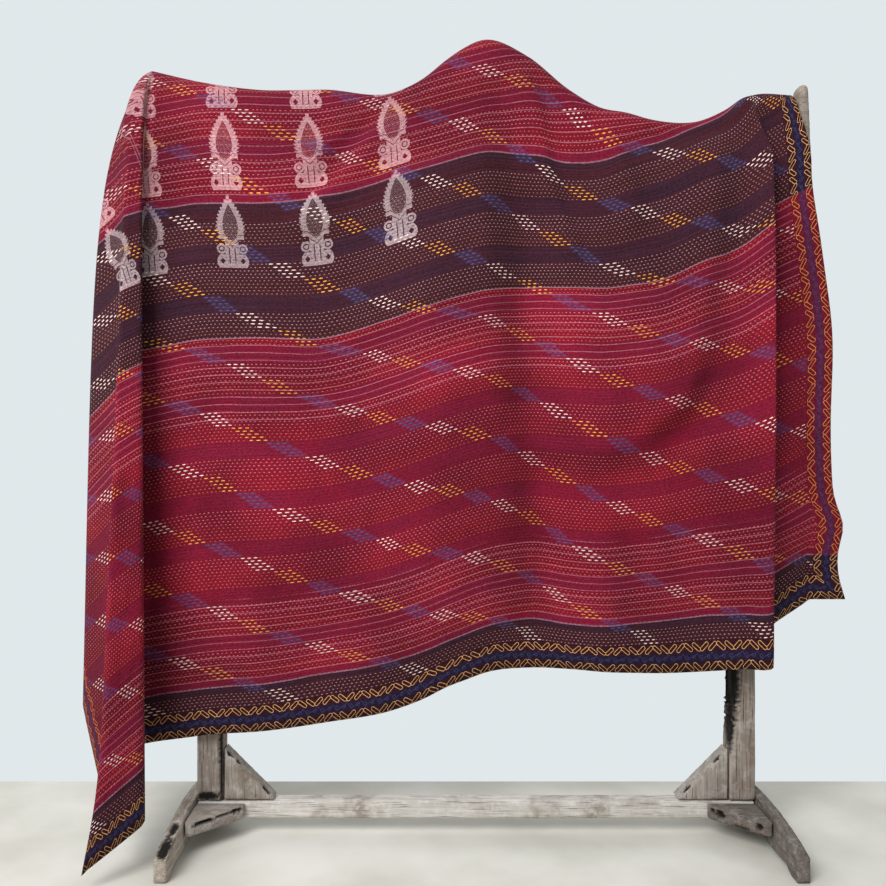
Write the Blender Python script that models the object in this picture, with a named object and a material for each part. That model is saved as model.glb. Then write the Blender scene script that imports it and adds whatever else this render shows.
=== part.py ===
"""Kantha quilt draped over its wooden rack.

Metres, +Z up. The origin is on the floor, in the middle of the whole piece's bounding box, a little
left of the rail's middle and in front of it. +X is the rack's right, and the quilt's long drop hangs
in front, on the -Y side. The sizes below are measured from the rack's own middle, on the floor under
the middle of the top rail, and RACK_MIDDLE places it.

The quilt is one sheet. A point of it is named by its place on the flat cloth: u runs along the
stripes from the left side edge, and w runs up from the front hem, over the rail, to the back hem.
Two parts carry it into space. Right of the rail's left horn the cloth hangs as a curtain, whose rows
follow the table DROPS. Left of the horn it falls off the rail's end as a cone of pleats, whose fold
lines are rays from the horn's tip in the table PLEATS.
"""

import math

import bmesh
import bpy
import numpy as np

RACK_MIDDLE = (0.0175, 0.0118, 0.0)

# ---------------------------------------------------------------- driving dimensions: the rack
POST_SPACING = 0.956          # between the posts' middles
POST_WIDTH = 0.048
POST_DEPTH = 0.040
STRETCHER_TOP = 0.061
STRETCHER_HEIGHT = 0.033
STRETCHER_DEPTH = 0.036
RAIL_HALF_LENGTH = 0.607
RAIL_DEPTH = 0.036
RAIL_BOTTOM = 1.190
RAIL_TOP = 1.250
RAIL_EDGE = 0.0085             # round of the rail's worn edges
HORN_WIDTH = 0.034
HORN_TIP_RADIUS = 0.010
HORN_TOP_LEFT = 1.356
HORN_TOP_RIGHT = 1.352
CREST_TOP = 1.4206
CREST_HALF_WIDTH = 0.110
CREST_TIP_RADIUS = 0.014
CREST_ALONG = 0.009           # the crest's point stands a little right of the middle
CREST_RUN_OUT = 0.020         # how far its foot runs out past its half width
CREST_SHOULDER = 0.62         # share of the half width at which it steepens
CREST_SHOULDER_RISE = 0.045
HORN_FILLET_RISE = 0.035      # slope between the rail and a horn
HORN_FILLET_RUN = 0.030
FOOT_HALF_LENGTH = 0.195
FOOT_THICKNESS = 0.023
FOOT_TOP = 0.069
FOOT_END_HEIGHT = 0.042
FOOT_ARCH = 0.010             # how far the foot's belly is off the floor
FOOT_PAD = 0.030              # length of the flat pad at each end of a foot
FOOT_BELLY_RUN = 0.020        # slope between a pad and the belly
FOOT_BOW = 2.2                # how late the foot's top starts to fall
GUSSET_LEG = 0.095
BRACE_LEG_X = 0.088
BRACE_LEG_Y = 0.082
BRACE_THICKNESS = 0.027
BRACE_NOSE = 0.012            # cut ends of a brace
BRACE_DROP = 0.002            # a brace's top below the stretcher's
FIT = 0.0003                  # gap where two pieces of wood meet

# ---------------------------------------------------------------- driving dimensions: the quilt
QUILT_WIDTH = 1.970           # along the stripes
QUILT_LENGTH = 1.500          # from the front hem to the back hem
QUILT_THICKNESS = 0.003
HORN_U = 0.700                # where the left horn's tip stands under the cloth
LEAN = 0.085                  # how far the warp leans to the right for each metre down
ROW_STRETCH = 1.011           # length of a row for each metre across, as rows rise and fall
BEND = 0.030                  # radius of the cloth's bend over the rail
LOW_BAND_W = 0.081            # heights of the stripes' edges above the front hem
BAND_FOOT_W = 0.711
BAND_TOP_W = 0.961
FLOOR_CLEARANCE = 0.006       # the lowest point of the tail
LOW_HANG = 0.026              # below this height the tail's folds crowd instead of hanging lower
TAIL_FOLD = 2                 # the fold line that is the tail's outer edge
TAIL_FLARE = 0.028            # how far that edge spreads out at the floor
TAIL_FLARE_FROM = 0.260       # the height below which it spreads
TUCK_HANG = 0.095             # the folds behind the tail crowd below this height
TUCK_LEAST = 0.046            # and end at this one
TUCK_OVER = 0.250             # share of the panel behind the tail over which they draw up

# Heights of the ridge, of the stripes' edges and of the hem along the rail, and how far the cloth
# stands out from the rail's front near its hem.
#         along, ridge, band top, band foot, low band, hem, stand-out
DROPS = (
    (-0.586, 1.378, 1.119, 0.878, 0.273, 0.195, 0.006),
    (-0.492, 1.356, 1.130, 0.889, 0.270, 0.190, 0.014),
    (-0.396, 1.342, 1.125, 0.889, 0.276, 0.195, 0.020),
    (-0.270, 1.342, 1.138, 0.889, 0.295, 0.210, 0.010),
    (-0.145, 1.338, 1.169, 0.922, 0.321, 0.236, 0.022),
    (-0.095, 1.362, 1.182, 0.938, 0.341, 0.257, 0.030),
    (-0.050, 1.398, 1.194, 0.952, 0.363, 0.281, 0.034),
    (-0.020, 1.418, 1.203, 0.960, 0.375, 0.292, 0.033),
    (0.009, 1.431, 1.211, 0.967, 0.385, 0.302, 0.030),
    (0.091, 1.403, 1.212, 0.979, 0.393, 0.309, 0.018),
    (0.167, 1.342, 1.200, 0.978, 0.383, 0.307, 0.022),
    (0.226, 1.309, 1.203, 0.974, 0.382, 0.304, 0.030),
    (0.270, 1.301, 1.220, 0.978, 0.386, 0.302, 0.026),
    (0.317, 1.288, 1.240, 0.986, 0.390, 0.301, 0.024),
    (0.391, 1.283, 1.270, 1.018, 0.399, 0.304, 0.026),
    (0.467, 1.305, 1.298, 1.049, 0.406, 0.313, 0.038),
    (0.523, 1.327, 1.320, 1.088, 0.413, 0.320, 0.044),
    (0.563, 1.333, 1.326, 1.105, 0.440, 0.350, 0.016),
    (0.680, 1.332, 1.350, 1.160, 0.498, 0.419, -0.040),
)
STAND_OUT_OVER = 0.220        # drop over which the front comes to stand out from the rail
FLAP_FROM = 0.140             # where the right flap starts to swing back, below the bend
FLAP_OVER = 0.600             # and how much further down it is fully back
CREASE_OVER = 0.030           # drop over which the creases rise out of the bend
BACK_STAND = 0.010            # the back drop hangs this much behind the rail's back
BACK_OVER = 0.100
BACK_WAVE = 0.006             # the soft waves along the back drop
BACK_WAVE_TURN = 17.0
BACK_WAVE_OVER = 0.200
BAND_ROOM = 0.030             # least cloth between the dark band and the bend where both show
CREASE_TOP_Z = 1.350          # the creases lean across between this height
CREASE_SPAN_Z = 1.100         # and this much lower

# The curtain's right end: its front layer turns at TURN_ALONG and comes out again behind itself.
TURN_ALONG = 0.523
TURN_BACK = 0.040             # how far the hidden layer runs back
TURN_LEAN = 0.014             # how far the front layer's edge draws in for each metre down
TURN_FADE = 0.150             # below the ridge, where the turn is full
RIDGE_GATHER = 0.041          # how far the turn stands further left on the ridge
TURN_ROUND = 0.010
TURN_DEPTH = 0.018            # how far the front layer stands before the hidden one
GATHER_ALONG = 0.360          # where the ridge starts to draw in towards the turn
PAST_TURN = 0.56              # how closely the ridge past the turn is drawn together
FLAP_WIDE = 0.160             # how far past the turn the flap's side edge is
# The side edge of the flap is not straight.
#          height, half length, how far out
FLAP_WAVES = (
    (1.170, 0.070, -0.008),
    (0.900, 0.130, 0.014),
    (0.553, 0.040, 0.016),
    (0.410, 0.035, 0.010),
)

# Fold lines of the pleats, in order around the horn's tip from the front curtain to the back one.
# The angle is on the flat cloth, from straight down. The cap is where the fold line leaves the
# horn's end, the bend is how soon, and the hang is how far it swings out for each metre down.
#          angle, cap x, cap y, bend, hang x, hang y
PLEATS = (
    (8.0, 0.000, -0.032, 0.034, -0.065, -0.006),
    (20.4, -0.008, -0.046, 0.050, 0.044, -0.098),
    (27.2, -0.025, -0.047, 0.058, 0.001, -0.138),
    (29.6, -0.048, -0.034, 0.062, 0.034, -0.094),
    (38.0, -0.106, -0.004, 0.150, -0.022, -0.010),
    (60.0, -0.100, 0.030, 0.140, 0.000, 0.250),
    (84.0, -0.068, 0.040, 0.090, 0.030, 0.010),
    (108.0, -0.045, 0.044, 0.072, 0.010, 0.260),
    (138.0, -0.022, 0.042, 0.052, 0.020, 0.040),
    (180.0, 0.000, 0.034, 0.038, 0.000, 0.012),
)
PLEAT_ROUND = 0.34            # share of a pleat's panel that its rounded folds take up
PLEAT_START = 0.12            # distance from the tip over which the pleats open

# Soft ridges that run down the front.
#          along at the top, along at the hem, height on the cloth, half length, half width, rise
CREASES = (
    (0.075, 0.135, 1.060, 0.150, 0.022, 0.010),
    (-0.120, -0.040, 0.700, 0.500, 0.050, 0.008),
    (-0.330, -0.270, 0.500, 0.420, 0.060, 0.006),
    (0.250, 0.330, 0.520, 0.450, 0.060, 0.007),
    (0.130, 0.240, 0.300, 0.260, 0.045, 0.005),
    (0.215, 0.225, 1.020, 0.060, 0.014, 0.006),
    (-0.150, -0.125, 1.100, 0.060, 0.014, -0.005),
)

# Mesh of the sheet
ROWS = 21                     # steps from the ridge to each hem
ROW_FIRST = 0.010
CURTAIN_COLUMNS = 24
TURN_COLUMNS = 12
PANEL_SHARES = (0.0, 0.11, 0.25, 0.5, 0.75, 0.89)
WIDE_BEFORE_TURN = 0.050      # the wide columns end this much before the turn
JOIN_SHARE = 0.16             # share of the curtain over which it meets the pleats
RAY_SAMPLES = 400             # steps along a ray when its drop is added up
TURN_SAMPLES = 9


# ---------------------------------------------------------------- materials and small helpers
def material(name, rgb, roughness):
    """A plain Principled material with a linear colour."""
    made = bpy.data.materials.new(name)
    made.use_nodes = True
    shader = made.node_tree.nodes["Principled BSDF"]
    shader.inputs["Base Color"].default_value = (*rgb, 1.0)
    shader.inputs["Roughness"].default_value = roughness
    shader.inputs["Metallic"].default_value = 0.0
    return made


def new_object(name, vertices, faces, surface):
    """One named object from points and faces."""
    mesh = bpy.data.meshes.new(name)
    mesh.from_pydata([tuple(point) for point in vertices], [], faces)
    mesh.materials.append(surface)
    made = bpy.data.objects.new(name, mesh)
    bpy.context.collection.objects.link(made)
    return made


def board(name, outline, axis, near, far, surface):
    """A board: a flat outline, in the plane across the axis, pushed from near to far."""
    order = {"X": (2, 0, 1), "Y": (0, 2, 1), "Z": (0, 1, 2)}[axis]
    points = []
    for depth in (near, far):
        for first, second in outline:
            flat = (first, second, depth)
            points.append(tuple(flat[i] for i in order))
    count = len(outline)
    faces = [tuple(range(count)), tuple(reversed(range(count, 2 * count)))]
    for i in range(count):
        j = (i + 1) % count
        faces.append((i, count + i, count + j, j))
    made = new_object(name, points, faces, surface)
    tidy = bmesh.new()
    tidy.from_mesh(made.data)
    bmesh.ops.recalc_face_normals(tidy, faces=tidy.faces)
    tidy.to_mesh(made.data)
    tidy.free()
    return made


def arc(centre_x, centre_z, radius, start, end, steps):
    """Points of a round stretch of an outline; angles in degrees."""
    points = []
    for i in range(steps + 1):
        angle = math.radians(start + (end - start) * i / steps)
        points.append((centre_x + radius * math.cos(angle), centre_z + radius * math.sin(angle)))
    return points


# ---------------------------------------------------------------- the rack
def build_top_rail(surface):
    """The rail, its two upright horns and the raised crest, cut from one plank."""
    end = RAIL_HALF_LENGTH
    horn_foot = end - HORN_WIDTH
    tip = HORN_TIP_RADIUS
    outline = [(-end, RAIL_BOTTOM), (end, RAIL_BOTTOM)]
    right_middle = end - HORN_WIDTH / 2
    outline += arc(right_middle, HORN_TOP_RIGHT - tip, tip, 0, 180, 8)
    outline += [(horn_foot, RAIL_TOP + HORN_FILLET_RISE), (horn_foot - HORN_FILLET_RUN, RAIL_TOP)]
    crest = CREST_TIP_RADIUS
    foot = CREST_HALF_WIDTH + CREST_RUN_OUT
    shoulder = CREST_HALF_WIDTH * CREST_SHOULDER
    shoulder_z = RAIL_TOP + CREST_SHOULDER_RISE
    outline += [(foot, RAIL_TOP), (shoulder, shoulder_z)]
    outline += arc(CREST_ALONG, CREST_TOP - crest, crest, 35, 145, 8)
    outline += [(-shoulder, shoulder_z), (-foot, RAIL_TOP)]
    outline += [(-horn_foot + HORN_FILLET_RUN, RAIL_TOP), (-horn_foot, RAIL_TOP + HORN_FILLET_RISE)]
    outline += arc(-right_middle, HORN_TOP_LEFT - tip, tip, 0, 180, 8)
    made = board("top_rail", outline, "Y", -RAIL_DEPTH / 2, RAIL_DEPTH / 2, surface)
    worn = made.modifiers.new("worn edges", "BEVEL")
    worn.width = RAIL_EDGE
    worn.segments = 3
    worn.limit_method = "ANGLE"
    worn.angle_limit = math.radians(50)
    return made


def build_post(name, side, surface):
    """An upright between the stretcher and the rail."""
    middle = side * POST_SPACING / 2
    half = POST_WIDTH / 2
    bottom = STRETCHER_TOP + FIT
    top = RAIL_BOTTOM - FIT
    outline = [(middle - half, bottom), (middle + half, bottom), (middle + half, top), (middle - half, top)]
    return board(name, outline, "Y", -POST_DEPTH / 2, POST_DEPTH / 2, surface)


def build_stretcher(surface):
    """The low bar from foot to foot."""
    half = POST_SPACING / 2 + POST_WIDTH / 2
    bottom = STRETCHER_TOP - STRETCHER_HEIGHT
    outline = [(-half, bottom), (half, bottom), (half, STRETCHER_TOP), (-half, STRETCHER_TOP)]
    return board("stretcher", outline, "Y", -STRETCHER_DEPTH / 2, STRETCHER_DEPTH / 2, surface)


def foot_outline():
    """Side view of a foot as (y, z): pads at both ends, a raised belly and a bowed top."""
    half = FOOT_HALF_LENGTH
    pad = half - FOOT_PAD
    belly = pad - FOOT_BELLY_RUN
    outline = [(-half, 0.0), (-pad, 0.0), (-belly, FOOT_ARCH), (belly, FOOT_ARCH)]
    outline += [(pad, 0.0), (half, 0.0)]
    steps = 12
    for i in range(steps + 1):
        y = half - 2 * half * i / steps
        outline.append((y, FOOT_TOP - (FOOT_TOP - FOOT_END_HEIGHT) * (abs(y) / half) ** FOOT_BOW))
    return outline


def build_foot(name, side, surface):
    """An arched foot on the outer side of its post."""
    inner = POST_SPACING / 2 + POST_WIDTH / 2 + FIT
    near, far = sorted((side * inner, side * (inner + FOOT_THICKNESS)))
    return board(name, foot_outline(), "X", near, far, surface)


def build_gusset(name, side, surface):
    """A triangular board that stands on the stretcher against the inner side of a post."""
    corner = POST_SPACING / 2 - POST_WIDTH / 2 - FIT
    bottom = STRETCHER_TOP + FIT
    outline = [(side * corner, bottom), (side * (corner - GUSSET_LEG), bottom)]
    outline.append((side * corner, bottom + GUSSET_LEG))
    return board(name, outline, "Y", -STRETCHER_DEPTH / 2, STRETCHER_DEPTH / 2, surface)


def build_brace(name, side, front, surface):
    """A flat triangular board in the corner of a foot and the stretcher."""
    corner_x = POST_SPACING / 2 + POST_WIDTH / 2
    corner_y = STRETCHER_DEPTH / 2 + FIT
    nose = BRACE_NOSE
    outline = [(side * corner_x, front * corner_y), (side * corner_x, front * (corner_y + BRACE_LEG_Y))]
    outline.append((side * (corner_x - nose), front * (corner_y + BRACE_LEG_Y)))
    outline.append((side * (corner_x - BRACE_LEG_X), front * (corner_y + nose)))
    outline.append((side * (corner_x - BRACE_LEG_X), front * corner_y))
    top = STRETCHER_TOP - BRACE_DROP
    return board(name, outline, "Z", top - BRACE_THICKNESS, top, surface)


# ---------------------------------------------------------------- the quilt's curtain
def table_column(index):
    """One column of DROPS as an array."""
    return np.array([row[index] for row in DROPS])


def smooth_lookup(along, index):
    """A column of DROPS read between its rows along a smooth curve."""
    places = table_column(0)
    values = table_column(index)
    slopes = np.gradient(values, places)
    x = np.clip(along, places[0], places[-1])
    i = np.clip(np.searchsorted(places, x) - 1, 0, len(places) - 2)
    gap = places[i + 1] - places[i]
    t = (x - places[i]) / gap
    start = (1 + 2 * t) * (1 - t) ** 2 * values[i] + t * (1 - t) ** 2 * gap * slopes[i]
    end = t * t * (3 - 2 * t) * values[i + 1] - t * t * (1 - t) * gap * slopes[i + 1]
    return start + end


ARC_GAIN = (math.pi / 2 - 1) * BEND


def ridge_w(along):
    """Height on the flat cloth of the ridge, where the cloth crosses the rail."""
    reach = smooth_lookup(along, 1) - smooth_lookup(along, 3)
    return BAND_FOOT_W + reach + ARC_GAIN


def front_height(along, w):
    """World height of a row of the front drop, below the bend."""
    marks = [smooth_lookup(along, index) for index in (5, 4, 3)]
    levels = (0.0, LOW_BAND_W, BAND_FOOT_W)
    top_w = ridge_w(along) - math.pi / 2 * BEND
    top_z = smooth_lookup(along, 1) - BEND
    band_z = smooth_lookup(along, 2)
    has_band = (top_w - BAND_TOP_W) > BAND_ROOM
    low = marks[0] + (marks[1] - marks[0]) * (w - levels[0]) / (levels[1] - levels[0])
    red = marks[1] + (marks[2] - marks[1]) * (w - levels[1]) / (levels[2] - levels[1])
    step_w = np.where(has_band, BAND_TOP_W, top_w)
    step_z = np.where(has_band, band_z, top_z)
    dark = marks[2] + (step_z - marks[2]) * (w - levels[2]) / (step_w - levels[2])
    rest = np.where(has_band, top_w - BAND_TOP_W, 1.0)
    upper = band_z + (top_z - band_z) * (w - BAND_TOP_W) / rest
    height = np.where(w < levels[1], low, np.where(w < levels[2], red, dark))
    return np.where(has_band & (w > BAND_TOP_W), upper, height)


def creases(along, w, front_z):
    """How far the soft ridges stand out of the front drop."""
    out = np.zeros_like(along)
    share = np.clip((CREASE_TOP_Z - front_z) / CREASE_SPAN_Z, 0.0, 1.0)
    for top, foot, middle, half_length, half_width, rise in CREASES:
        line = top + (foot - top) * share
        out += rise * np.exp(-((along - line) / half_width) ** 2 - ((w - middle) / half_length) ** 2)
    return out


def rounded_turn(distance, turn, radius):
    """Place across after going out to the turn and back for TURN_BACK, then out again."""
    def zigzag(value):
        back = np.clip(value - turn, 0.0, TURN_BACK)
        return value - 2 * back
    total = np.zeros_like(distance)
    for i in range(TURN_SAMPLES):
        total += zigzag(distance + radius * (2 * i / (TURN_SAMPLES - 1) - 1))
    return total / TURN_SAMPLES


def curtain_point(u, w):
    """Place in space of the flat cloth's point (u, w) right of the left horn."""
    along = (u - HORN_U) / ROW_STRETCH + DROPS[0][0]
    for _ in range(4):
        fall = np.clip(ridge_w(along) - w, 0.0, 2.0)
        along = (u - HORN_U + LEAN * fall) / ROW_STRETCH + DROPS[0][0]
    crossing = ridge_w(along)
    ridge_z = smooth_lookup(along, 1)
    fall = crossing - w
    bend = math.pi / 2 * BEND
    angle = np.clip(fall / BEND, -math.pi / 2, math.pi / 2)
    z = ridge_z - BEND * (1 - np.cos(angle))
    y = -BEND * np.sin(angle)
    front = fall > bend
    front_z = front_height(along, np.where(front, w, crossing - bend))
    z = np.where(front, front_z, z)
    z = np.where(fall < -bend, ridge_z - BEND + fall + bend, z)
    below = np.clip(fall - bend, 0.0, None)
    stand_out = smooth_lookup(along, 6)
    swung = np.clip((below - FLAP_FROM) / FLAP_OVER, 0.0, 1.0)
    opened = np.where(stand_out > 0, 1 - np.exp(-below / STAND_OUT_OVER), swung)
    y = y - stand_out * opened - creases(along, w, z) * (1 - np.exp(-below / CREASE_OVER))
    behind = np.clip(-fall - bend, 0.0, None)
    y = y + BACK_STAND * (1 - np.exp(-behind / BACK_OVER))
    y = y + BACK_WAVE * np.sin(along * BACK_WAVE_TURN) * np.clip(behind / BACK_WAVE_OVER, 0.0, 1.0)
    full = np.clip(fall / TURN_FADE, 0.0, 1.0)
    full = full * full * (3 - 2 * full)
    near_turn = np.clip((along - GATHER_ALONG) / (TURN_ALONG - GATHER_ALONG), 0.0, 1.0) ** 2
    gather = RIDGE_GATHER * near_turn
    hidden = np.clip((along - TURN_ALONG) / TURN_BACK, 0.0, 1.0)
    y = y - full * TURN_DEPTH * near_turn * (1 - hidden)
    past = np.clip(along - TURN_ALONG, 0.0, None)
    on_ridge = np.where(along < TURN_ALONG, along, TURN_ALONG + past * PAST_TURN) - gather
    hanging = rounded_turn(along, TURN_ALONG, TURN_ROUND)
    x = on_ridge + (hanging - on_ridge) * full
    x = x - TURN_LEAN * np.clip(fall, 0.0, None) * near_turn * (1 - hidden)
    edge = full * np.clip(past / FLAP_WIDE, 0.0, 1.0) ** 2
    for height, half_length, out in FLAP_WAVES:
        x = x + out * edge * np.exp(-((z - height) / half_length) ** 2)
    return np.stack([x, y, z], axis=-1)


# ---------------------------------------------------------------- the quilt's pleats
def fold_place(index, reach):
    """Plan offset from the tip of one fold line, at a distance along it."""
    angle, cap_x, cap_y, bend, hang_x, hang_y = PLEATS[index]
    leave = 1 - np.exp(-reach / bend)
    swing = reach * reach / (reach + PLEAT_START)
    return cap_x * leave + hang_x * swing, cap_y * leave + hang_y * swing


def panel_place(panel, share, reach):
    """Plan offset inside a panel, with its two folds rounded."""
    last = len(PLEATS) - 1
    half = PLEAT_ROUND / 2
    here = fold_place(panel, reach)
    there = fold_place(panel + 1, reach)
    if share < half and panel > 0:
        corner, before, after, x = here, fold_place(panel - 1, reach), there, share
    elif share > 1 - half and panel + 1 < last:
        corner, before, after, x = there, here, fold_place(panel + 2, reach), share - 1
    else:
        return tuple(a + (b - a) * share for a, b in zip(here, there))
    right = (half + x) ** 2 / (2 * PLEAT_ROUND)
    left = (half - x) ** 2 / (2 * PLEAT_ROUND)
    return tuple(c + (a - c) * right + (b - c) * left for c, a, b in zip(corner, after, before))


def pleat_ray(panel, share, reaches):
    """Points down one ray from the horn's tip; the drop follows from the ray's own length."""
    fine = np.linspace(0.0, float(reaches[-1]), RAY_SAMPLES)
    x, y = panel_place(panel, share, fine)
    travelled = np.hypot(np.diff(x), np.diff(y))
    step = fine[1] - fine[0]
    drop = np.concatenate([[0.0], np.cumsum(np.sqrt(np.clip(step * step - travelled ** 2, 0.0, None)))])
    tip_x, tip_z = DROPS[0][0], DROPS[0][1]
    z = tip_z - np.interp(reaches, fine, drop)
    behind = panel + share - TAIL_FOLD
    tuck = min(max(behind / TUCK_OVER, 0.0), 1.0)
    least = FLOOR_CLEARANCE + (TUCK_LEAST - FLOOR_CLEARANCE) * tuck
    start = LOW_HANG + (TUCK_HANG - LOW_HANG) * tuck
    room = start - least
    z = np.where(z < start, least + room * np.exp((z - start) / room), z)
    spread = np.clip(1 - z / TAIL_FLARE_FROM, 0.0, 1.0) ** 2 * max(0.0, 1 - abs(behind))
    x = tip_x + np.interp(reaches, fine, x) - TAIL_FLARE * spread
    return np.stack([x, np.interp(reaches, fine, y), z], axis=-1)


def ray_length(angle, tip_w):
    """Length on the flat cloth from the horn's tip to the hem or the side edge."""
    turn = math.radians(angle)
    corner = math.atan2(HORN_U, tip_w)
    back_corner = math.atan2(HORN_U, -(QUILT_LENGTH - tip_w))
    if turn <= corner:
        return tip_w / math.cos(turn)
    if turn <= back_corner:
        return HORN_U / math.sin(turn)
    return (QUILT_LENGTH - tip_w) / -math.cos(turn)


def reaches_down(length):
    """Distances of the rows from the ridge down a line of this length, close together at the ridge."""
    steps = np.linspace(0.0, 1.0, ROWS + 1)
    first = min(ROW_FIRST * ROWS / length, 1.0)
    return length * (first * steps + (1 - first) * steps ** 2)


# ---------------------------------------------------------------- the quilt as one solid
def quilt_sheet():
    """The middle of the cloth as points and faces."""
    tip_w = float(ridge_w(np.array(DROPS[0][0])))
    points = []
    faces = []

    rays = []
    for panel in range(len(PLEATS) - 1):
        for share in PANEL_SHARES:
            rays.append((panel, share))
    rays.append((len(PLEATS) - 2, 1.0))
    fans = []
    for panel, share in rays:
        angle = PLEATS[panel][0] + (PLEATS[panel + 1][0] - PLEATS[panel][0]) * share
        fans.append(pleat_ray(panel, share, reaches_down(ray_length(angle, tip_w))))

    shares = np.linspace(0.0, 1.0, CURTAIN_COLUMNS + 1)
    turn_share = (TURN_ALONG - DROPS[0][0] - WIDE_BEFORE_TURN) * ROW_STRETCH / (QUILT_WIDTH - HORN_U)
    left = shares[:-1] * turn_share
    right = turn_share + (1 - turn_share) * np.linspace(0.0, 1.0, TURN_COLUMNS + 1)
    columns = np.concatenate([left, right])

    first_angle = math.radians(PLEATS[0][0])
    fronts = []
    backs = []
    edge_front = fans[0]
    edge_back = fans[-1]
    for share in columns:
        edge_u = HORN_U + share * (QUILT_WIDTH - HORN_U)
        along_top = (edge_u - HORN_U) / ROW_STRETCH + DROPS[0][0]
        crossing = float(ridge_w(np.array(along_top)))
        down = reaches_down(crossing)
        w = crossing - down
        lean_u = -(1 - share) * down * math.tan(first_angle)
        u = edge_u + lean_u
        body = curtain_point(u, w)
        up = reaches_down(QUILT_LENGTH - crossing)
        rear = curtain_point(np.full_like(up, edge_u), crossing + up)
        blend = max(0.0, 1 - share / JOIN_SHARE) ** 2
        if share == 0.0:
            first_front = edge_front - body
            first_back = edge_back - rear
        fronts.append(body + blend * first_front)
        backs.append(rear + blend * first_back)

    tip = 0
    points.append(tuple(fans[0][0]))
    ids = []
    for line in fans:
        column = [tip]
        for point in line[1:]:
            column.append(len(points))
            points.append(tuple(point))
        ids.append(column)
    for a, b in zip(ids[:-1], ids[1:]):
        faces.append((tip, a[1], b[1]))
        for j in range(1, ROWS):
            faces.append((a[j], a[j + 1], b[j + 1], b[j]))

    front_ids = [ids[0]]
    back_ids = [ids[-1]]
    for front, back in zip(fronts[1:], backs[1:]):
        ridge = len(points)
        points.append(tuple(front[0]))
        down = [ridge]
        for point in front[1:]:
            down.append(len(points))
            points.append(tuple(point))
        up = [ridge]
        for point in back[1:]:
            up.append(len(points))
            points.append(tuple(point))
        front_ids.append(down)
        back_ids.append(up)
    for a, b in zip(front_ids[:-1], front_ids[1:]):
        for j in range(ROWS):
            faces.append((b[j], b[j + 1], a[j + 1], a[j]))
    for a, b in zip(back_ids[:-1], back_ids[1:]):
        for j in range(ROWS):
            faces.append((a[j], a[j + 1], b[j + 1], b[j]))
    return points, faces


def build_quilt(surface):
    """The draped cloth with its real thickness."""
    points, faces = quilt_sheet()
    made = new_object("quilt", points, faces, surface)
    thick = made.modifiers.new("thickness", "SOLIDIFY")
    thick.thickness = QUILT_THICKNESS
    thick.offset = 0.0
    thick.use_even_offset = False
    made.data.shade_smooth()
    return made


def main():
    for old in list(bpy.data.objects):
        bpy.data.objects.remove(old, do_unlink=True)
    wood = material("weathered teak", (0.30, 0.26, 0.22), 0.85)
    rail_wood = material("rail teak", (0.26, 0.22, 0.18), 0.85)
    cloth = material("quilted cotton", (0.22, 0.02, 0.03), 0.9)
    build_top_rail(rail_wood)
    build_stretcher(wood)
    for side, word in ((-1, "left"), (1, "right")):
        build_post("post_" + word, side, wood)
        build_foot("foot_" + word, side, wood)
        build_gusset("gusset_" + word, side, wood)
        build_brace("brace_front_" + word, side, -1, wood)
        build_brace("brace_back_" + word, side, 1, wood)
    build_quilt(cloth)
    place = bpy.data.objects.new("rack_middle", None)
    bpy.context.collection.objects.link(place)
    place.location = RACK_MIDDLE
    for piece in bpy.data.objects:
        if piece.type == "MESH":
            piece.parent = place
    bpy.context.view_layer.update()


main()
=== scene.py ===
# %% [markdown]
# # A kantha quilt over its wooden rack
#
# A kantha is a throw made of old saris laid on each other and held together by thousands of rows of
# running stitch. This one hangs over a simple stand: a rail with a raised crest and two upright horns,
# two posts, a low stretcher and arched feet, all in bare teak that has gone grey out of doors.
#
# The quilt and the rack already exist as plain solids. This lesson keeps them as the frame, and makes
# what they lack: the fine sheet with its stripes, stitches and border, and the weathered wood.

# %% Load the frame
import math

import bpy
import numpy as np
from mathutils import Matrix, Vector


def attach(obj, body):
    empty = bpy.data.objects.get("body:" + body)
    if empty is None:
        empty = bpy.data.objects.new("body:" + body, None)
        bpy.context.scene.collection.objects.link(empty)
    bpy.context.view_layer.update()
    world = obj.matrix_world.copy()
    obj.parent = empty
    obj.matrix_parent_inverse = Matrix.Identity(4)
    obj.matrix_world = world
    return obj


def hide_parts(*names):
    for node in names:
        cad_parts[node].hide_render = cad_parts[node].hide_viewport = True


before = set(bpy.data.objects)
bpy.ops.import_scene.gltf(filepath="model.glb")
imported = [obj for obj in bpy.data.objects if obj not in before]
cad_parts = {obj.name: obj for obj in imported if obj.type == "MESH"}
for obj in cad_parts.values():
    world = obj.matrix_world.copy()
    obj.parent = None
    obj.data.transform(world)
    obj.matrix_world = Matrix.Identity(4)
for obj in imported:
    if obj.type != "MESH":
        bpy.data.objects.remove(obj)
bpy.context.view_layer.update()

# %% [markdown]
# ## Two small helpers
#
# Colours are easiest to choose as the hex values of a screen, but a shader wants linear light, so one
# function turns the first into the second. A material here is a chain of many small nodes, so one more
# function adds a node: its kind, its settings, and what goes into its sockets, each either a number or
# the output of an earlier node.


# %% Helpers for colours and nodes
def linear(code):
    """The linear colour of an sRGB hex value."""
    channels = [int(code[i:i + 2], 16) / 255 for i in (1, 3, 5)]
    return tuple(c / 12.92 if c <= 0.04045 else ((c + 0.055) / 1.055) ** 2.4 for c in channels) + (1.0,)


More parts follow.
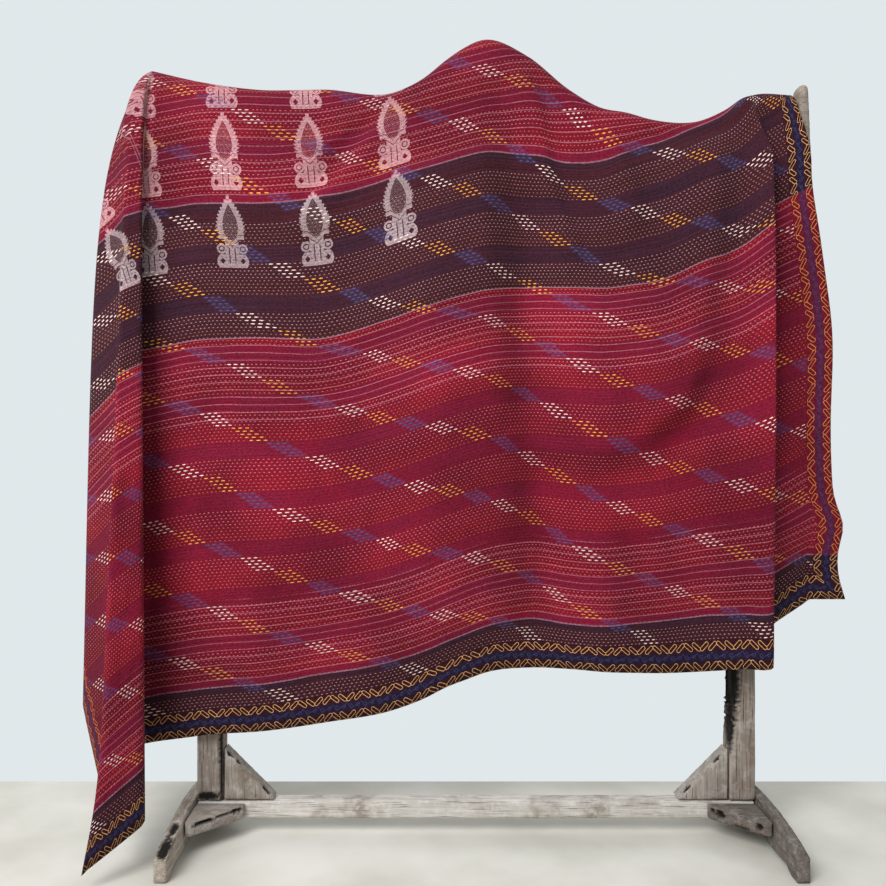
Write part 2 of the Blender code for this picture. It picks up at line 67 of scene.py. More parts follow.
def add(tree, kind, *sources, **settings):
    """Adds a node. The sources fill its open sockets in order: a number, a colour, an earlier node, one of
    its outputs as (node, name), or None to leave the socket alone. A dict names its sockets."""
    made = tree.nodes.new("ShaderNode" + kind)
    for key, value in settings.items():
        setattr(made, key, value)
    sockets = [socket for socket in made.inputs if socket.enabled]
    pairs = list(zip(sockets, sources))
    if len(sources) == 1 and isinstance(sources[0], dict):
        pairs = [(next(s for s in sockets if s.name == key), value) for key, value in sources[0].items()]
    for socket, value in pairs:
        if value is None:
            continue
        if isinstance(value, bpy.types.Node):
            value = (value, None)
        if isinstance(value, tuple) and isinstance(value[0], bpy.types.Node):
            giver, name = value
            outputs = [output for output in giver.outputs if output.enabled]
            output = outputs[0] if name is None else next(o for o in outputs if o.name == name)
            tree.links.new(output, socket)
        else:
            socket.default_value = value
    return made


# %% [markdown]
# ## The camera, the floor and the light
#
# The quilt is seen from the front at about half its height, from a metre and a half away, so near that
# the camera has to look level to keep the posts upright. The light is that of open shade: broad and soft,
# strongest from high on the left, with a pale floor that throws some of it back up.

# %% Place the camera
RACK_MIDDLE = (0.0175, 0.0118, 0.0)
EYE_PLACE = (-0.083, -1.580, 0.697)  # from the rack's middle
FRAME_PIXELS = 886
LENS_PIXELS = 870             # focal length, in pixels of the frame
SHIFT_PIXELS = (13, 4)
SENSOR_WIDTH = 36.0
eye = bpy.data.cameras.new("eye")
eye.sensor_width = SENSOR_WIDTH
eye.lens = SENSOR_WIDTH * LENS_PIXELS / FRAME_PIXELS
eye.shift_x, eye.shift_y = (pixels / FRAME_PIXELS for pixels in SHIFT_PIXELS)
camera = bpy.data.objects.new("camera", eye)
bpy.context.collection.objects.link(camera)
camera.location = Vector(EYE_PLACE) + Vector(RACK_MIDDLE)
camera.rotation_euler = (math.radians(90), 0.0, 0.0)
bpy.context.scene.camera = camera
print("camera lens", round(eye.lens, 2), "mm at", [round(v, 3) for v in camera.location])

# %% Lay the floor and hang the lights
WALL_BRIGHT = 0.86            # the background as it is seen
SKY_LIGHT = 0.47              # and as it lights the quilt
LAMPS_AIM = Vector((0.0, 0.0, 0.7))
FLOOR_SIZE = 30.0
FLOOR_BACK = 0.245            # the floor ends just behind the rack, where a pale wall would stand
bpy.ops.object.select_all(action="DESELECT")
bpy.ops.mesh.primitive_plane_add(size=FLOOR_SIZE, location=(0.0, FLOOR_BACK - FLOOR_SIZE / 2, 0.0))
floor = bpy.context.object
floor.name = "studio_floor"
floor_paint = bpy.data.materials.new("pale_studio_floor")
floor_paint.use_nodes = True
paint = floor_paint.node_tree
floor_shader = paint.nodes["Principled BSDF"]
floor_place = (add(paint, "TexCoord"), "Object")
patches = add(paint, "TexNoise", {"Vector": floor_place, "Scale": 5.0, "Detail": 6.0})
patch_tone = add(paint, "MapRange", patches, 0.35, 0.65)
worn_floor = add(paint, "Mix", patch_tone, linear("#C9C6BB"), linear("#DDDAD2"), data_type="RGBA")
paint.links.new(worn_floor.outputs["Result"], floor_shader.inputs["Base Color"])
floor_shader.inputs["Roughness"].default_value = 0.9
floor.data.materials.append(floor_paint)

sky = bpy.data.worlds.new("soft_sky")
bpy.context.scene.world = sky
sky.use_nodes = True
sky_colour = sky.node_tree.nodes["Background"]
sky_colour.inputs["Color"].default_value = linear("#F0F8FB")
# Seen directly it is the pale wall; the light it gives off is less, as a room's is beside its window.
seen = add(sky.node_tree, "LightPath")
strength = add(sky.node_tree, "MapRange", {"Value": seen, "To Min": SKY_LIGHT, "To Max": WALL_BRIGHT})
sky.node_tree.links.new(strength.outputs["Result"], sky_colour.inputs["Strength"])
bpy.context.scene.view_settings.view_transform = "Standard"

LAMPS = (
    # name, place, size, watts
    ("front_left", (-1.6, -2.6, 2.8), 1.8, 132.0),
    ("overhead", (-0.2, -0.6, 3.4), 2.0, 8.0),
    ("left_fill", (-2.8, -1.4, 1.4), 1.6, 4.0),
    ("back_fill", (0.0, 3.0, 2.6), 2.6, 40.0),
)
for name, place, size, watts in LAMPS:
    light = bpy.data.lights.new(name, "AREA")
    light.size = size
    light.energy = watts
    lamp = bpy.data.objects.new(name, light)
    bpy.context.collection.objects.link(lamp)
    lamp.location = place
    lamp.rotation_euler = (LAMPS_AIM - Vector(place)).to_track_quat("-Z", "Y").to_euler()
print("lamps:", len(LAMPS))

# %% [markdown]
# ## The quilt's shape
#
# A cloth simulation would settle the quilt somewhere, but not into these folds, so its shape is worked
# out instead. A point of the cloth is named by its place on the flat quilt: u along the stripes from the
# left side edge, and w from the front hem up over the rail to the back hem. Right of the left horn the
# cloth hangs as a curtain, whose rows follow one short table. Left of the horn it falls off the rail's
# end as a cone of pleats, whose fold lines are rays from the horn's tip in a second table.

# %% The quilt's sizes
QUILT_WIDTH = 1.970           # along the stripes
QUILT_LENGTH = 1.500          # from the front hem to the back hem
QUILT_THICKNESS = 0.003
HORN_U = 0.700                # where the left horn's tip stands under the cloth
LEAN = 0.085                  # how far the warp leans to the right for each metre down
ROW_STRETCH = 1.011           # length of a row for each metre across, as rows rise and fall
BEND = 0.030                  # radius of the cloth's bend over the rail
LOW_BAND_W = 0.081            # heights of the stripes' edges above the front hem
BAND_FOOT_W = 0.711
BAND_TOP_W = 0.961
FLOOR_CLEARANCE = 0.006       # the lowest point of the tail
LOW_HANG = 0.026              # below this height the tail's folds crowd instead of hanging lower
TAIL_FOLD = 2                 # the fold line that is the tail's outer edge
TAIL_FLARE = 0.028            # how far that edge spreads out at the floor
TAIL_FLARE_FROM = 0.260       # the height below which it spreads
TUCK_HANG = 0.095             # the folds behind the tail crowd below this height
TUCK_LEAST = 0.046            # and end at this one
TUCK_OVER = 0.250             # share of the panel behind the tail over which they draw up

# Heights of the ridge, of the stripes' edges and of the hem along the rail, and how far the cloth
# stands out from the rail's front near its hem.
#         along, ridge, band top, band foot, low band, hem, stand-out
DROPS = (
    (-0.586, 1.378, 1.119, 0.878, 0.273, 0.195, 0.006),
    (-0.492, 1.356, 1.130, 0.889, 0.270, 0.190, 0.014),
    (-0.396, 1.342, 1.125, 0.889, 0.276, 0.195, 0.020),
    (-0.270, 1.342, 1.138, 0.889, 0.295, 0.210, 0.010),
    (-0.145, 1.338, 1.169, 0.922, 0.321, 0.236, 0.022),
    (-0.095, 1.362, 1.182, 0.938, 0.341, 0.257, 0.030),
    (-0.050, 1.398, 1.194, 0.952, 0.363, 0.281, 0.034),
    (-0.020, 1.418, 1.203, 0.960, 0.375, 0.292, 0.033),
    (0.009, 1.431, 1.211, 0.967, 0.385, 0.302, 0.030),
    (0.091, 1.403, 1.212, 0.979, 0.393, 0.309, 0.018),
    (0.167, 1.342, 1.200, 0.978, 0.383, 0.307, 0.022),
    (0.226, 1.309, 1.203, 0.974, 0.382, 0.304, 0.030),
    (0.270, 1.301, 1.220, 0.978, 0.386, 0.302, 0.026),
    (0.317, 1.288, 1.240, 0.986, 0.390, 0.301, 0.024),
    (0.391, 1.283, 1.270, 1.018, 0.399, 0.304, 0.026),
    (0.467, 1.305, 1.298, 1.049, 0.406, 0.313, 0.038),
    (0.523, 1.327, 1.320, 1.088, 0.413, 0.320, 0.044),
    (0.563, 1.333, 1.326, 1.105, 0.440, 0.350, 0.016),
    (0.680, 1.332, 1.350, 1.160, 0.498, 0.419, -0.040),
)
STAND_OUT_OVER = 0.220        # drop over which the front comes to stand out from the rail
FLAP_FROM = 0.140             # where the right flap starts to swing back, below the bend
FLAP_OVER = 0.600             # and how much further down it is fully back
CREASE_OVER = 0.030           # drop over which the creases rise out of the bend
BACK_STAND = 0.010            # the back drop hangs this much behind the rail's back
BACK_OVER = 0.100
BACK_WAVE = 0.006             # the soft waves along the back drop
BACK_WAVE_TURN = 17.0
BACK_WAVE_OVER = 0.200
BAND_ROOM = 0.030             # least cloth between the dark band and the bend where both show
CREASE_TOP_Z = 1.350          # the creases lean across between this height
CREASE_SPAN_Z = 1.100         # and this much lower

# The curtain's right end: its front layer turns at TURN_ALONG and comes out again behind itself.
TURN_ALONG = 0.523
TURN_BACK = 0.040             # how far the hidden layer runs back
TURN_LEAN = 0.014             # how far the front layer's edge draws in for each metre down
TURN_FADE = 0.150             # below the ridge, where the turn is full
RIDGE_GATHER = 0.041          # how far the turn stands further left on the ridge
TURN_ROUND = 0.010
TURN_DEPTH = 0.018            # how far the front layer stands before the hidden one
GATHER_ALONG = 0.360          # where the ridge starts to draw in towards the turn
PAST_TURN = 0.56              # how closely the ridge past the turn is drawn together
FLAP_WIDE = 0.160             # how far past the turn the flap's side edge is
# The side edge of the flap is not straight.
#          height, half length, how far out
FLAP_WAVES = (
    (1.170, 0.070, -0.008),
    (0.900, 0.130, 0.014),
    (0.553, 0.040, 0.016),
    (0.410, 0.035, 0.010),
)

# Fold lines of the pleats, in order around the horn's tip from the front curtain to the back one.
# The angle is on the flat cloth, from straight down. The cap is where the fold line leaves the
# horn's end, the bend is how soon, and the hang is how far it swings out for each metre down.
#          angle, cap x, cap y, bend, hang x, hang y
PLEATS = (
    (8.0, 0.000, -0.032, 0.034, -0.065, -0.006),
    (20.4, -0.008, -0.046, 0.050, 0.044, -0.098),
    (27.2, -0.025, -0.047, 0.058, 0.001, -0.138),
    (29.6, -0.048, -0.034, 0.062, 0.034, -0.094),
    (38.0, -0.106, -0.004, 0.150, -0.022, -0.010),
    (60.0, -0.100, 0.030, 0.140, 0.000, 0.250),
    (84.0, -0.068, 0.040, 0.090, 0.030, 0.010),
    (108.0, -0.045, 0.044, 0.072, 0.010, 0.260),
    (138.0, -0.022, 0.042, 0.052, 0.020, 0.040),
    (180.0, 0.000, 0.034, 0.038, 0.000, 0.012),
)
PLEAT_ROUND = 0.34            # share of a pleat's panel that its rounded folds take up
PLEAT_START = 0.12            # distance from the tip over which the pleats open

# Soft ridges that run down the front.
#          along at the top, along at the hem, height on the cloth, half length, half width, rise
CREASES = (
    (0.075, 0.135, 1.060, 0.150, 0.022, 0.010),
    (-0.120, -0.040, 0.700, 0.500, 0.050, 0.008),
    (-0.330, -0.270, 0.500, 0.420, 0.060, 0.006),
    (0.250, 0.330, 0.520, 0.450, 0.060, 0.007),
    (0.130, 0.240, 0.300, 0.260, 0.045, 0.005),
    (0.215, 0.225, 1.020, 0.060, 0.014, 0.006),
    (-0.150, -0.125, 1.100, 0.060, 0.014, -0.005),
)

# Broad soft folds that the plain solid does without: each follows a line over the flat cloth.
#     points (u, w) from the top down, half width to its left and to its right, rise
SOFT_FOLDS = (
    # the swag that hangs from the gathered right end, and the hollow outside it
    (((1.704, 0.909), (1.678, 0.787), (1.651, 0.642), (1.622, 0.531), (1.578, 0.464), (1.500, 0.427)),
     0.170, 0.050, 0.032),
    (((1.760, 0.930), (1.738, 0.787), (1.718, 0.642), (1.700, 0.531), (1.680, 0.424), (1.640, 0.330)),
     0.050, 0.060, -0.005),
    # a broad ridge and a long hollow under the raised middle, and two short ridges beside them
    (((1.262, 0.940), (1.255, 0.600), (1.250, 0.300), (1.240, 0.100)), 0.200, 0.060, 0.022),
    (((1.350, 0.860), (1.340, 0.600), (1.335, 0.453), (1.330, 0.120)), 0.050, 0.060, -0.014),
    (((1.385, 1.076), (1.405, 0.898), (1.440, 0.787)), 0.026, 0.014, 0.012),
    (((1.535, 1.010), (1.552, 0.853)), 0.024, 0.014, 0.010),
    # the ridges that run down to the left from the pinch beside the raised middle
    (((1.140, 1.090), (1.090, 1.040), (1.035, 0.985), (0.960, 0.940)), 0.022, 0.060, 0.014),
    (((1.070, 1.090), (1.005, 1.045), (0.950, 1.000)), 0.050, 0.024, 0.010),
    (((0.790, 1.100), (0.815, 1.030), (0.850, 0.960)), 0.030, 0.060, 0.008),
    # the hollow beside the tail
    (((0.715, 0.950), (0.712, 0.600), (0.710, 0.300), (0.708, 0.000)), 0.035, 0.110, -0.006),
)
SOFT_END = 0.070              # length over which a soft fold dies out
PLEAT_FREE = 0.035            # the soft folds keep this clear of the pleats


# %% [markdown]
# The curtain: each column of the cloth starts at the ridge, bends over the rail and falls, and the table
# says at what height each stripe's edge hangs there. Near the right end the front layer turns back on
# itself, runs a little way behind, and comes out again as the loose flap with the side border.


# %% The curtain as a function of the flat cloth
def table_column(index):
    """One column of DROPS as an array."""
    return np.array([row[index] for row in DROPS])


def smooth_lookup(along, index):
    """A column of DROPS read between its rows along a smooth curve."""
    places = table_column(0)
    values = table_column(index)
    slopes = np.gradient(values, places)
    x = np.clip(along, places[0], places[-1])
    i = np.clip(np.searchsorted(places, x) - 1, 0, len(places) - 2)
    gap = places[i + 1] - places[i]
    t = (x - places[i]) / gap
    start = (1 + 2 * t) * (1 - t) ** 2 * values[i] + t * (1 - t) ** 2 * gap * slopes[i]
    end = t * t * (3 - 2 * t) * values[i + 1] - t * t * (1 - t) * gap * slopes[i + 1]
    return start + end


ARC_GAIN = (math.pi / 2 - 1) * BEND


def ridge_w(along):
    """Height on the flat cloth of the ridge, where the cloth crosses the rail."""
    reach = smooth_lookup(along, 1) - smooth_lookup(along, 3)
    return BAND_FOOT_W + reach + ARC_GAIN


def front_height(along, w):
    """Height of a row of the front drop, below the bend."""
    marks = [smooth_lookup(along, index) for index in (5, 4, 3)]
    levels = (0.0, LOW_BAND_W, BAND_FOOT_W)
    top_w = ridge_w(along) - math.pi / 2 * BEND
    top_z = smooth_lookup(along, 1) - BEND
    band_z = smooth_lookup(along, 2)
    has_band = (top_w - BAND_TOP_W) > BAND_ROOM
    low = marks[0] + (marks[1] - marks[0]) * (w - levels[0]) / (levels[1] - levels[0])
    red = marks[1] + (marks[2] - marks[1]) * (w - levels[1]) / (levels[2] - levels[1])
    step_w = np.where(has_band, BAND_TOP_W, top_w)
    step_z = np.where(has_band, band_z, top_z)
    dark = marks[2] + (step_z - marks[2]) * (w - levels[2]) / (step_w - levels[2])
    rest = np.where(has_band, top_w - BAND_TOP_W, 1.0)
    upper = band_z + (top_z - band_z) * (w - BAND_TOP_W) / rest
    height = np.where(w < levels[1], low, np.where(w < levels[2], red, dark))
    return np.where(has_band & (w > BAND_TOP_W), upper, height)


def creases(along, w, front_z):
    """How far the soft ridges stand out of the front drop."""
    out = np.zeros_like(along)
    share = np.clip((CREASE_TOP_Z - front_z) / CREASE_SPAN_Z, 0.0, 1.0)
    for top, foot, middle, half_length, half_width, rise in CREASES:
        line = top + (foot - top) * share
        out += rise * np.exp(-((along - line) / half_width) ** 2 - ((w - middle) / half_length) ** 2)
    return out


def soft_folds(along, u, w):
    """How far the broad soft folds stand out of the front drop."""
    out = np.zeros_like(u)
    for line, left_width, right_width, rise in SOFT_FOLDS:
        places, heights = zip(*reversed(line))
        off = u - np.interp(w, heights, places)
        width = np.where(off < 0, left_width, right_width)
        past_end = np.maximum(w - heights[-1], heights[0] - w)
        held = np.clip(1 - past_end / SOFT_END, 0.0, 1.0)
        out += rise * np.exp(-(off / width) ** 2) * held * held * (3 - 2 * held)
    return out * np.clip((along - DROPS[0][0]) / PLEAT_FREE, 0.0, 1.0)


def rounded_turn(distance, turn, radius):
    """Place across after going out to the turn and back for TURN_BACK, then out again."""
    def zigzag(value):
        back = np.clip(value - turn, 0.0, TURN_BACK)
        return value - 2 * back
    total = np.zeros_like(distance)
    for i in range(TURN_SAMPLES):
        total += zigzag(distance + radius * (2 * i / (TURN_SAMPLES - 1) - 1))
    return total / TURN_SAMPLES


def curtain_point(u, w):
    """Place in space of the flat cloth's point (u, w) right of the left horn."""
    along = (u - HORN_U) / ROW_STRETCH + DROPS[0][0]
    for _ in range(4):
        fall = np.clip(ridge_w(along) - w, 0.0, 2.0)
        along = (u - HORN_U + LEAN * fall) / ROW_STRETCH + DROPS[0][0]
    crossing = ridge_w(along)
    ridge_z = smooth_lookup(along, 1)
    fall = crossing - w
    bend = math.pi / 2 * BEND
    angle = np.clip(fall / BEND, -math.pi / 2, math.pi / 2)
    z = ridge_z - BEND * (1 - np.cos(angle))
    y = -BEND * np.sin(angle)
    front = fall > bend
    front_z = front_height(along, np.where(front, w, crossing - bend))
    z = np.where(front, front_z, z)
    z = np.where(fall < -bend, ridge_z - BEND + fall + bend, z)
    below = np.clip(fall - bend, 0.0, None)
    stand_out = smooth_lookup(along, 6)
    swung = np.clip((below - FLAP_FROM) / FLAP_OVER, 0.0, 1.0)
    opened = np.where(stand_out > 0, 1 - np.exp(-below / STAND_OUT_OVER), swung)
    folds = creases(along, w, z) + soft_folds(along, u, w)
    y = y - stand_out * opened - folds * (1 - np.exp(-below / CREASE_OVER))
    behind = np.clip(-fall - bend, 0.0, None)
    y = y + BACK_STAND * (1 - np.exp(-behind / BACK_OVER))
    y = y + BACK_WAVE * np.sin(along * BACK_WAVE_TURN) * np.clip(behind / BACK_WAVE_OVER, 0.0, 1.0)
    full = np.clip(fall / TURN_FADE, 0.0, 1.0)
    full = full * full * (3 - 2 * full)
    near_turn = np.clip((along - GATHER_ALONG) / (TURN_ALONG - GATHER_ALONG), 0.0, 1.0) ** 2
    gather = RIDGE_GATHER * near_turn
    hidden = np.clip((along - TURN_ALONG) / TURN_BACK, 0.0, 1.0)
    y = y - full * TURN_DEPTH * near_turn * (1 - hidden)
    past = np.clip(along - TURN_ALONG, 0.0, None)
    on_ridge = np.where(along < TURN_ALONG, along, TURN_ALONG + past * PAST_TURN) - gather
    hanging = rounded_turn(along, TURN_ALONG, TURN_ROUND)
    x = on_ridge + (hanging - on_ridge) * full
    x = x - TURN_LEAN * np.clip(fall, 0.0, None) * near_turn * (1 - hidden)
    edge = full * np.clip(past / FLAP_WIDE, 0.0, 1.0) ** 2
    for height, half_length, out in FLAP_WAVES:
        x = x + out * edge * np.exp(-((z - height) / half_length) ** 2)
    return np.stack([x, y, z], axis=-1)


# %% [markdown]
# The pleats: where a cloth falls off a point it makes a cone of folds, and every fold line on the flat
# cloth is a straight ray from that point. A ray keeps its own length, so how far it swings outwards also
# says how much less it drops.


# %% The pleats as rays from the horn's tip
def fold_place(index, reach):
    """Plan offset from the tip of one fold line, at a distance along it."""
    angle, cap_x, cap_y, bend, hang_x, hang_y = PLEATS[index]
    leave = 1 - np.exp(-reach / bend)
    swing = reach * reach / (reach + PLEAT_START)
    return cap_x * leave + hang_x * swing, cap_y * leave + hang_y * swing


def panel_place(panel, share, reach):
    """Plan offset inside a panel, with its two folds rounded."""
    last = len(PLEATS) - 1
    half = PLEAT_ROUND / 2
    here = fold_place(panel, reach)
    there = fold_place(panel + 1, reach)
    if share < half and panel > 0:
        corner, before, after, x = here, fold_place(panel - 1, reach), there, share
    elif share > 1 - half and panel + 1 < last:
        corner, before, after, x = there, here, fold_place(panel + 2, reach), share - 1
    else:
        return tuple(a + (b - a) * share for a, b in zip(here, there))
    right = (half + x) ** 2 / (2 * PLEAT_ROUND)
    left = (half - x) ** 2 / (2 * PLEAT_ROUND)
    return tuple(c + (a - c) * right + (b - c) * left for c, a, b in zip(corner, after, before))


def pleat_ray(panel, share, reaches):
    """Points down one ray from the horn's tip; the drop follows from the ray's own length."""
    fine = np.linspace(0.0, float(reaches[-1]), RAY_SAMPLES)
    x, y = panel_place(panel, share, fine)
    travelled = np.hypot(np.diff(x), np.diff(y))
    step = fine[1] - fine[0]
    drop = np.concatenate([[0.0], np.cumsum(np.sqrt(np.clip(step * step - travelled ** 2, 0.0, None)))])
    tip_x, tip_z = DROPS[0][0], DROPS[0][1]
    z = tip_z - np.interp(reaches, fine, drop)
    behind = panel + share - TAIL_FOLD
    tuck = min(max(behind / TUCK_OVER, 0.0), 1.0)
    least = FLOOR_CLEARANCE + (TUCK_LEAST - FLOOR_CLEARANCE) * tuck
    start = LOW_HANG + (TUCK_HANG - LOW_HANG) * tuck
    room = start - least
    z = np.where(z < start, least + room * np.exp((z - start) / room), z)
    spread = np.clip(1 - z / TAIL_FLARE_FROM, 0.0, 1.0) ** 2 * max(0.0, 1 - abs(behind))
    x = tip_x + np.interp(reaches, fine, x) - TAIL_FLARE * spread
    return np.stack([x, np.interp(reaches, fine, y), z], axis=-1)


def ray_length(angle, tip_w):
    """Length on the flat cloth from the horn's tip to the hem or the side edge."""
    turn = math.radians(angle)
    corner = math.atan2(HORN_U, tip_w)
    back_corner = math.atan2(HORN_U, -(QUILT_LENGTH - tip_w))
    if turn <= corner:
        return tip_w / math.cos(turn)
    if turn <= back_corner:
        return HORN_U / math.sin(turn)
    return (QUILT_LENGTH - tip_w) / -math.cos(turn)


# %% [markdown]
# One mesh now joins both parts, as fine as the folds need. Its UV map is the flat quilt in metres, so a
# pattern drawn on it has its true size, however the cloth is draped.

# %% Build the quilt's sheet
ROWS = 84
ROW_FIRST = 0.0035
CURTAIN_COLUMNS = 110
TURN_COLUMNS = 44
PANEL_STEPS = 9
WIDE_BEFORE_TURN = 0.050
JOIN_SHARE = 0.16             # share of the curtain over which it meets the pleats
RAY_SAMPLES = 400
TURN_SAMPLES = 9


def reaches_down(length):
    """Distances of the rows from the ridge down a line of this length, close together at the ridge."""
    steps = np.linspace(0.0, 1.0, ROWS + 1)
    first = min(ROW_FIRST * ROWS / length, 1.0)
    return length * (first * steps + (1 - first) * steps ** 2)


tip_w = float(ridge_w(np.array(DROPS[0][0])))
points = []
flat = []
faces = []

rays = [(panel, step / PANEL_STEPS) for panel in range(len(PLEATS) - 1) for step in range(PANEL_STEPS)]
rays.append((len(PLEATS) - 2, 1.0))
tip = 0
points.append((DROPS[0][0], 0.0, DROPS[0][1]))
flat.append((HORN_U, tip_w))
fans = []
fan_ids = []
for panel, share in rays:
    angle = PLEATS[panel][0] + (PLEATS[panel + 1][0] - PLEATS[panel][0]) * share
    reaches = reaches_down(ray_length(angle, tip_w))
    line = pleat_ray(panel, share, reaches)
    fans.append(line)
    column = [tip]
    turned = math.radians(angle)
    for reach, point in zip(reaches[1:], line[1:]):
        column.append(len(points))
        points.append(tuple(point))
        flat.append((HORN_U - reach * math.sin(turned), tip_w - reach * math.cos(turned)))
    fan_ids.append(column)
points[tip] = tuple(fans[0][0])
for a, b in zip(fan_ids[:-1], fan_ids[1:]):
    faces.append((tip, a[1], b[1]))
    for j in range(1, ROWS):
        faces.append((a[j], a[j + 1], b[j + 1], b[j]))

turn_share = (TURN_ALONG - DROPS[0][0] - WIDE_BEFORE_TURN) * ROW_STRETCH / (QUILT_WIDTH - HORN_U)
left = np.linspace(0.0, turn_share, CURTAIN_COLUMNS + 1)[:-1]
right = np.linspace(turn_share, 1.0, TURN_COLUMNS + 1)
lean = math.tan(math.radians(PLEATS[0][0]))
front_ids = [fan_ids[0]]
back_ids = [fan_ids[-1]]
for share in np.concatenate([left, right]):
    edge_u = HORN_U + share * (QUILT_WIDTH - HORN_U)
    along_top = (edge_u - HORN_U) / ROW_STRETCH + DROPS[0][0]
    crossing = float(ridge_w(np.array(along_top)))
    down = reaches_down(crossing)
    front_u = edge_u - (1 - share) * down * lean
    front_w = crossing - down
    front = curtain_point(front_u, front_w)
    up = reaches_down(QUILT_LENGTH - crossing)
    back_u = np.full_like(up, edge_u)
    back_w = crossing + up
    back = curtain_point(back_u, back_w)
    if share == 0.0:
        front_gap = fans[0] - front
        back_gap = fans[-1] - back
        continue
    blend = max(0.0, 1 - share / JOIN_SHARE) ** 2
    front = front + blend * front_gap
    back = back + blend * back_gap
    ridge = len(points)
    points.append(tuple(front[0]))
    flat.append((front_u[0], front_w[0]))
    sides = []
    for line, line_u, line_w in ((front, front_u, front_w), (back, back_u, back_w)):
        column = [ridge]
        for point, u, w in zip(line[1:], line_u[1:], line_w[1:]):
            column.append(len(points))
            points.append(tuple(point))
            flat.append((u, w))
        sides.append(column)
    front_ids.append(sides[0])
    back_ids.append(sides[1])
for a, b in zip(front_ids[:-1], front_ids[1:]):
    for j in range(ROWS):
        faces.append((b[j], b[j + 1], a[j + 1], a[j]))
for a, b in zip(back_ids[:-1], back_ids[1:]):
    for j in range(ROWS):
        faces.append((a[j], a[j + 1], b[j + 1], b[j]))

points = np.array(points) + np.array(RACK_MIDDLE)
cloth_mesh = bpy.data.meshes.new("kantha_quilt")
cloth_mesh.from_pydata(points.tolist(), [], faces)
flat_map = cloth_mesh.uv_layers.new(name="flat_quilt")
corner_points = np.empty(len(cloth_mesh.loops), dtype=np.int32)
cloth_mesh.loops.foreach_get("vertex_index", corner_points)
flat_map.data.foreach_set("uv", np.array(flat)[corner_points].ravel())
quilt = bpy.data.objects.new("kantha_quilt", cloth_mesh)
bpy.context.collection.objects.link(quilt)
cloth_mesh.shade_smooth()
print("quilt sheet:", len(points), "points,", len(faces), "faces")

# %% Give the sheet its thickness
bpy.ops.object.select_all(action="DESELECT")
bpy.context.view_layer.objects.active = quilt
quilt.select_set(True)
layers = quilt.modifiers.new("stitched layers", "SOLIDIFY")
layers.thickness = QUILT_THICKNESS
layers.offset = 0.0
layers.use_even_offset = False
bpy.ops.object.modifier_apply(modifier=layers.name)
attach(quilt, "root")
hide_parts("quilt")
print("quilt with thickness:", sum(len(p.vertices) - 2 for p in quilt.data.polygons), "triangles")

# %% [markdown]
# ## The cloth's pattern
#
# Everything on the quilt follows the flat cloth: the woven stripes, the rows of running stitch, the
# embroidered border and the woven motifs of the sari in one corner. It could be painted, but a painting
# blurs when the camera comes near. Here it is drawn with sums instead, on the UV map in metres, so every
# stitch has its size in millimetres. Each table below names a value, says what is done, and to what.

# %% Start the quilted cotton
cotton = bpy.data.materials.new("hand_stitched_sari_cotton")
cotton.use_nodes = True
cloth = cotton.node_tree
cotton_shader = cloth.nodes["Principled BSDF"]
quilt.data.materials.clear()
quilt.data.materials.append(cotton)
flat_place = add(cloth, "UVMap", uv_map="flat_quilt")
flat_parts = add(cloth, "SeparateXYZ", flat_place)
hand = add(cloth, "TexNoise", {"Vector": flat_place, "Scale": 9.0, "Detail": 2.0}, noise_dimensions="2D")
value = {"u": (flat_parts, "X"), "w": (flat_parts, "Y"), "hand": hand}

EDGE_SUMS = (
    ("from_right", "SUBTRACT", QUILT_WIDTH, "u"),
    ("side", "MINIMUM", "u", "from_right"),
    ("from_top", "SUBTRACT", QUILT_LENGTH, "w"),
    ("end", "MINIMUM", "w", "from_top"),
    ("edge", "MINIMUM", "side", "end"),
    ("along_end", "LESS_THAN", "end", "side"),
    ("along_side", "SUBTRACT", 1.0, "along_end"),
    ("u_along", "MULTIPLY", "u", "along_end"),
    ("along", "MULTIPLY_ADD", "w", "along_side", "u_along"),
    ("swerve", "MULTIPLY_ADD", "hand", 0.005, -0.0025),
    ("wavy", "ADD", "w", "swerve"),
    ("border", "LESS_THAN", "edge", 0.0465),
    ("inside", "SUBTRACT", 1.0, "border"),
)
for name, operation, *terms in EDGE_SUMS:
    value[name] = add(cloth, "Math", *[value.get(term, term) for term in terms], operation=operation)
print("sums for the edges:", len(EDGE_SUMS))

# %% [markdown]
# The saris were woven with a dark band between red fields. Fine pale weft lines run beside each band,
# a little more than 13 mm apart and counted from its edge, and a brighter one marks the edge itself.

# %% Weave the stripes
LOW_BAND_EDGE = 0.084
LINE_HALF = 0.00075
BANDS = (
    # name, height of its middle, half height
    ("upper", (BAND_FOOT_W + BAND_TOP_W) / 2, (BAND_TOP_W - BAND_FOOT_W) / 2),
    ("lower", 0.0, LOW_BAND_EDGE),
    ("back", QUILT_LENGTH, LOW_BAND_EDGE),
)
BAND_EDGES = (
    # name, height, half width of the bright line
    ("upper", BAND_TOP_W, 0.0012),
    ("foot", BAND_FOOT_W, 0.0010),
    ("lower", LOW_BAND_EDGE, 0.0013),
    ("back", QUILT_LENGTH - LOW_BAND_EDGE, 0.0010),
)
PALE_LINES = (
    # name, the edge they are counted from, pitch, middle and half height of the zone that has them
    ("top", BAND_TOP_W, 0.0140, 1.190, 0.222),
    ("high", BAND_FOOT_W, 0.0134, 0.6305, 0.0755),
    ("low", LOW_BAND_EDGE, 0.0130, 0.1650, 0.0750),
)
STRIPE_SUMS = []
for name, middle, half in BANDS:
    STRIPE_SUMS.append((name + "_band", "COMPARE", "wavy", middle, half))
for name, height, half in BAND_EDGES:
    STRIPE_SUMS.append((name + "_edge", "COMPARE", "wavy", height, half))
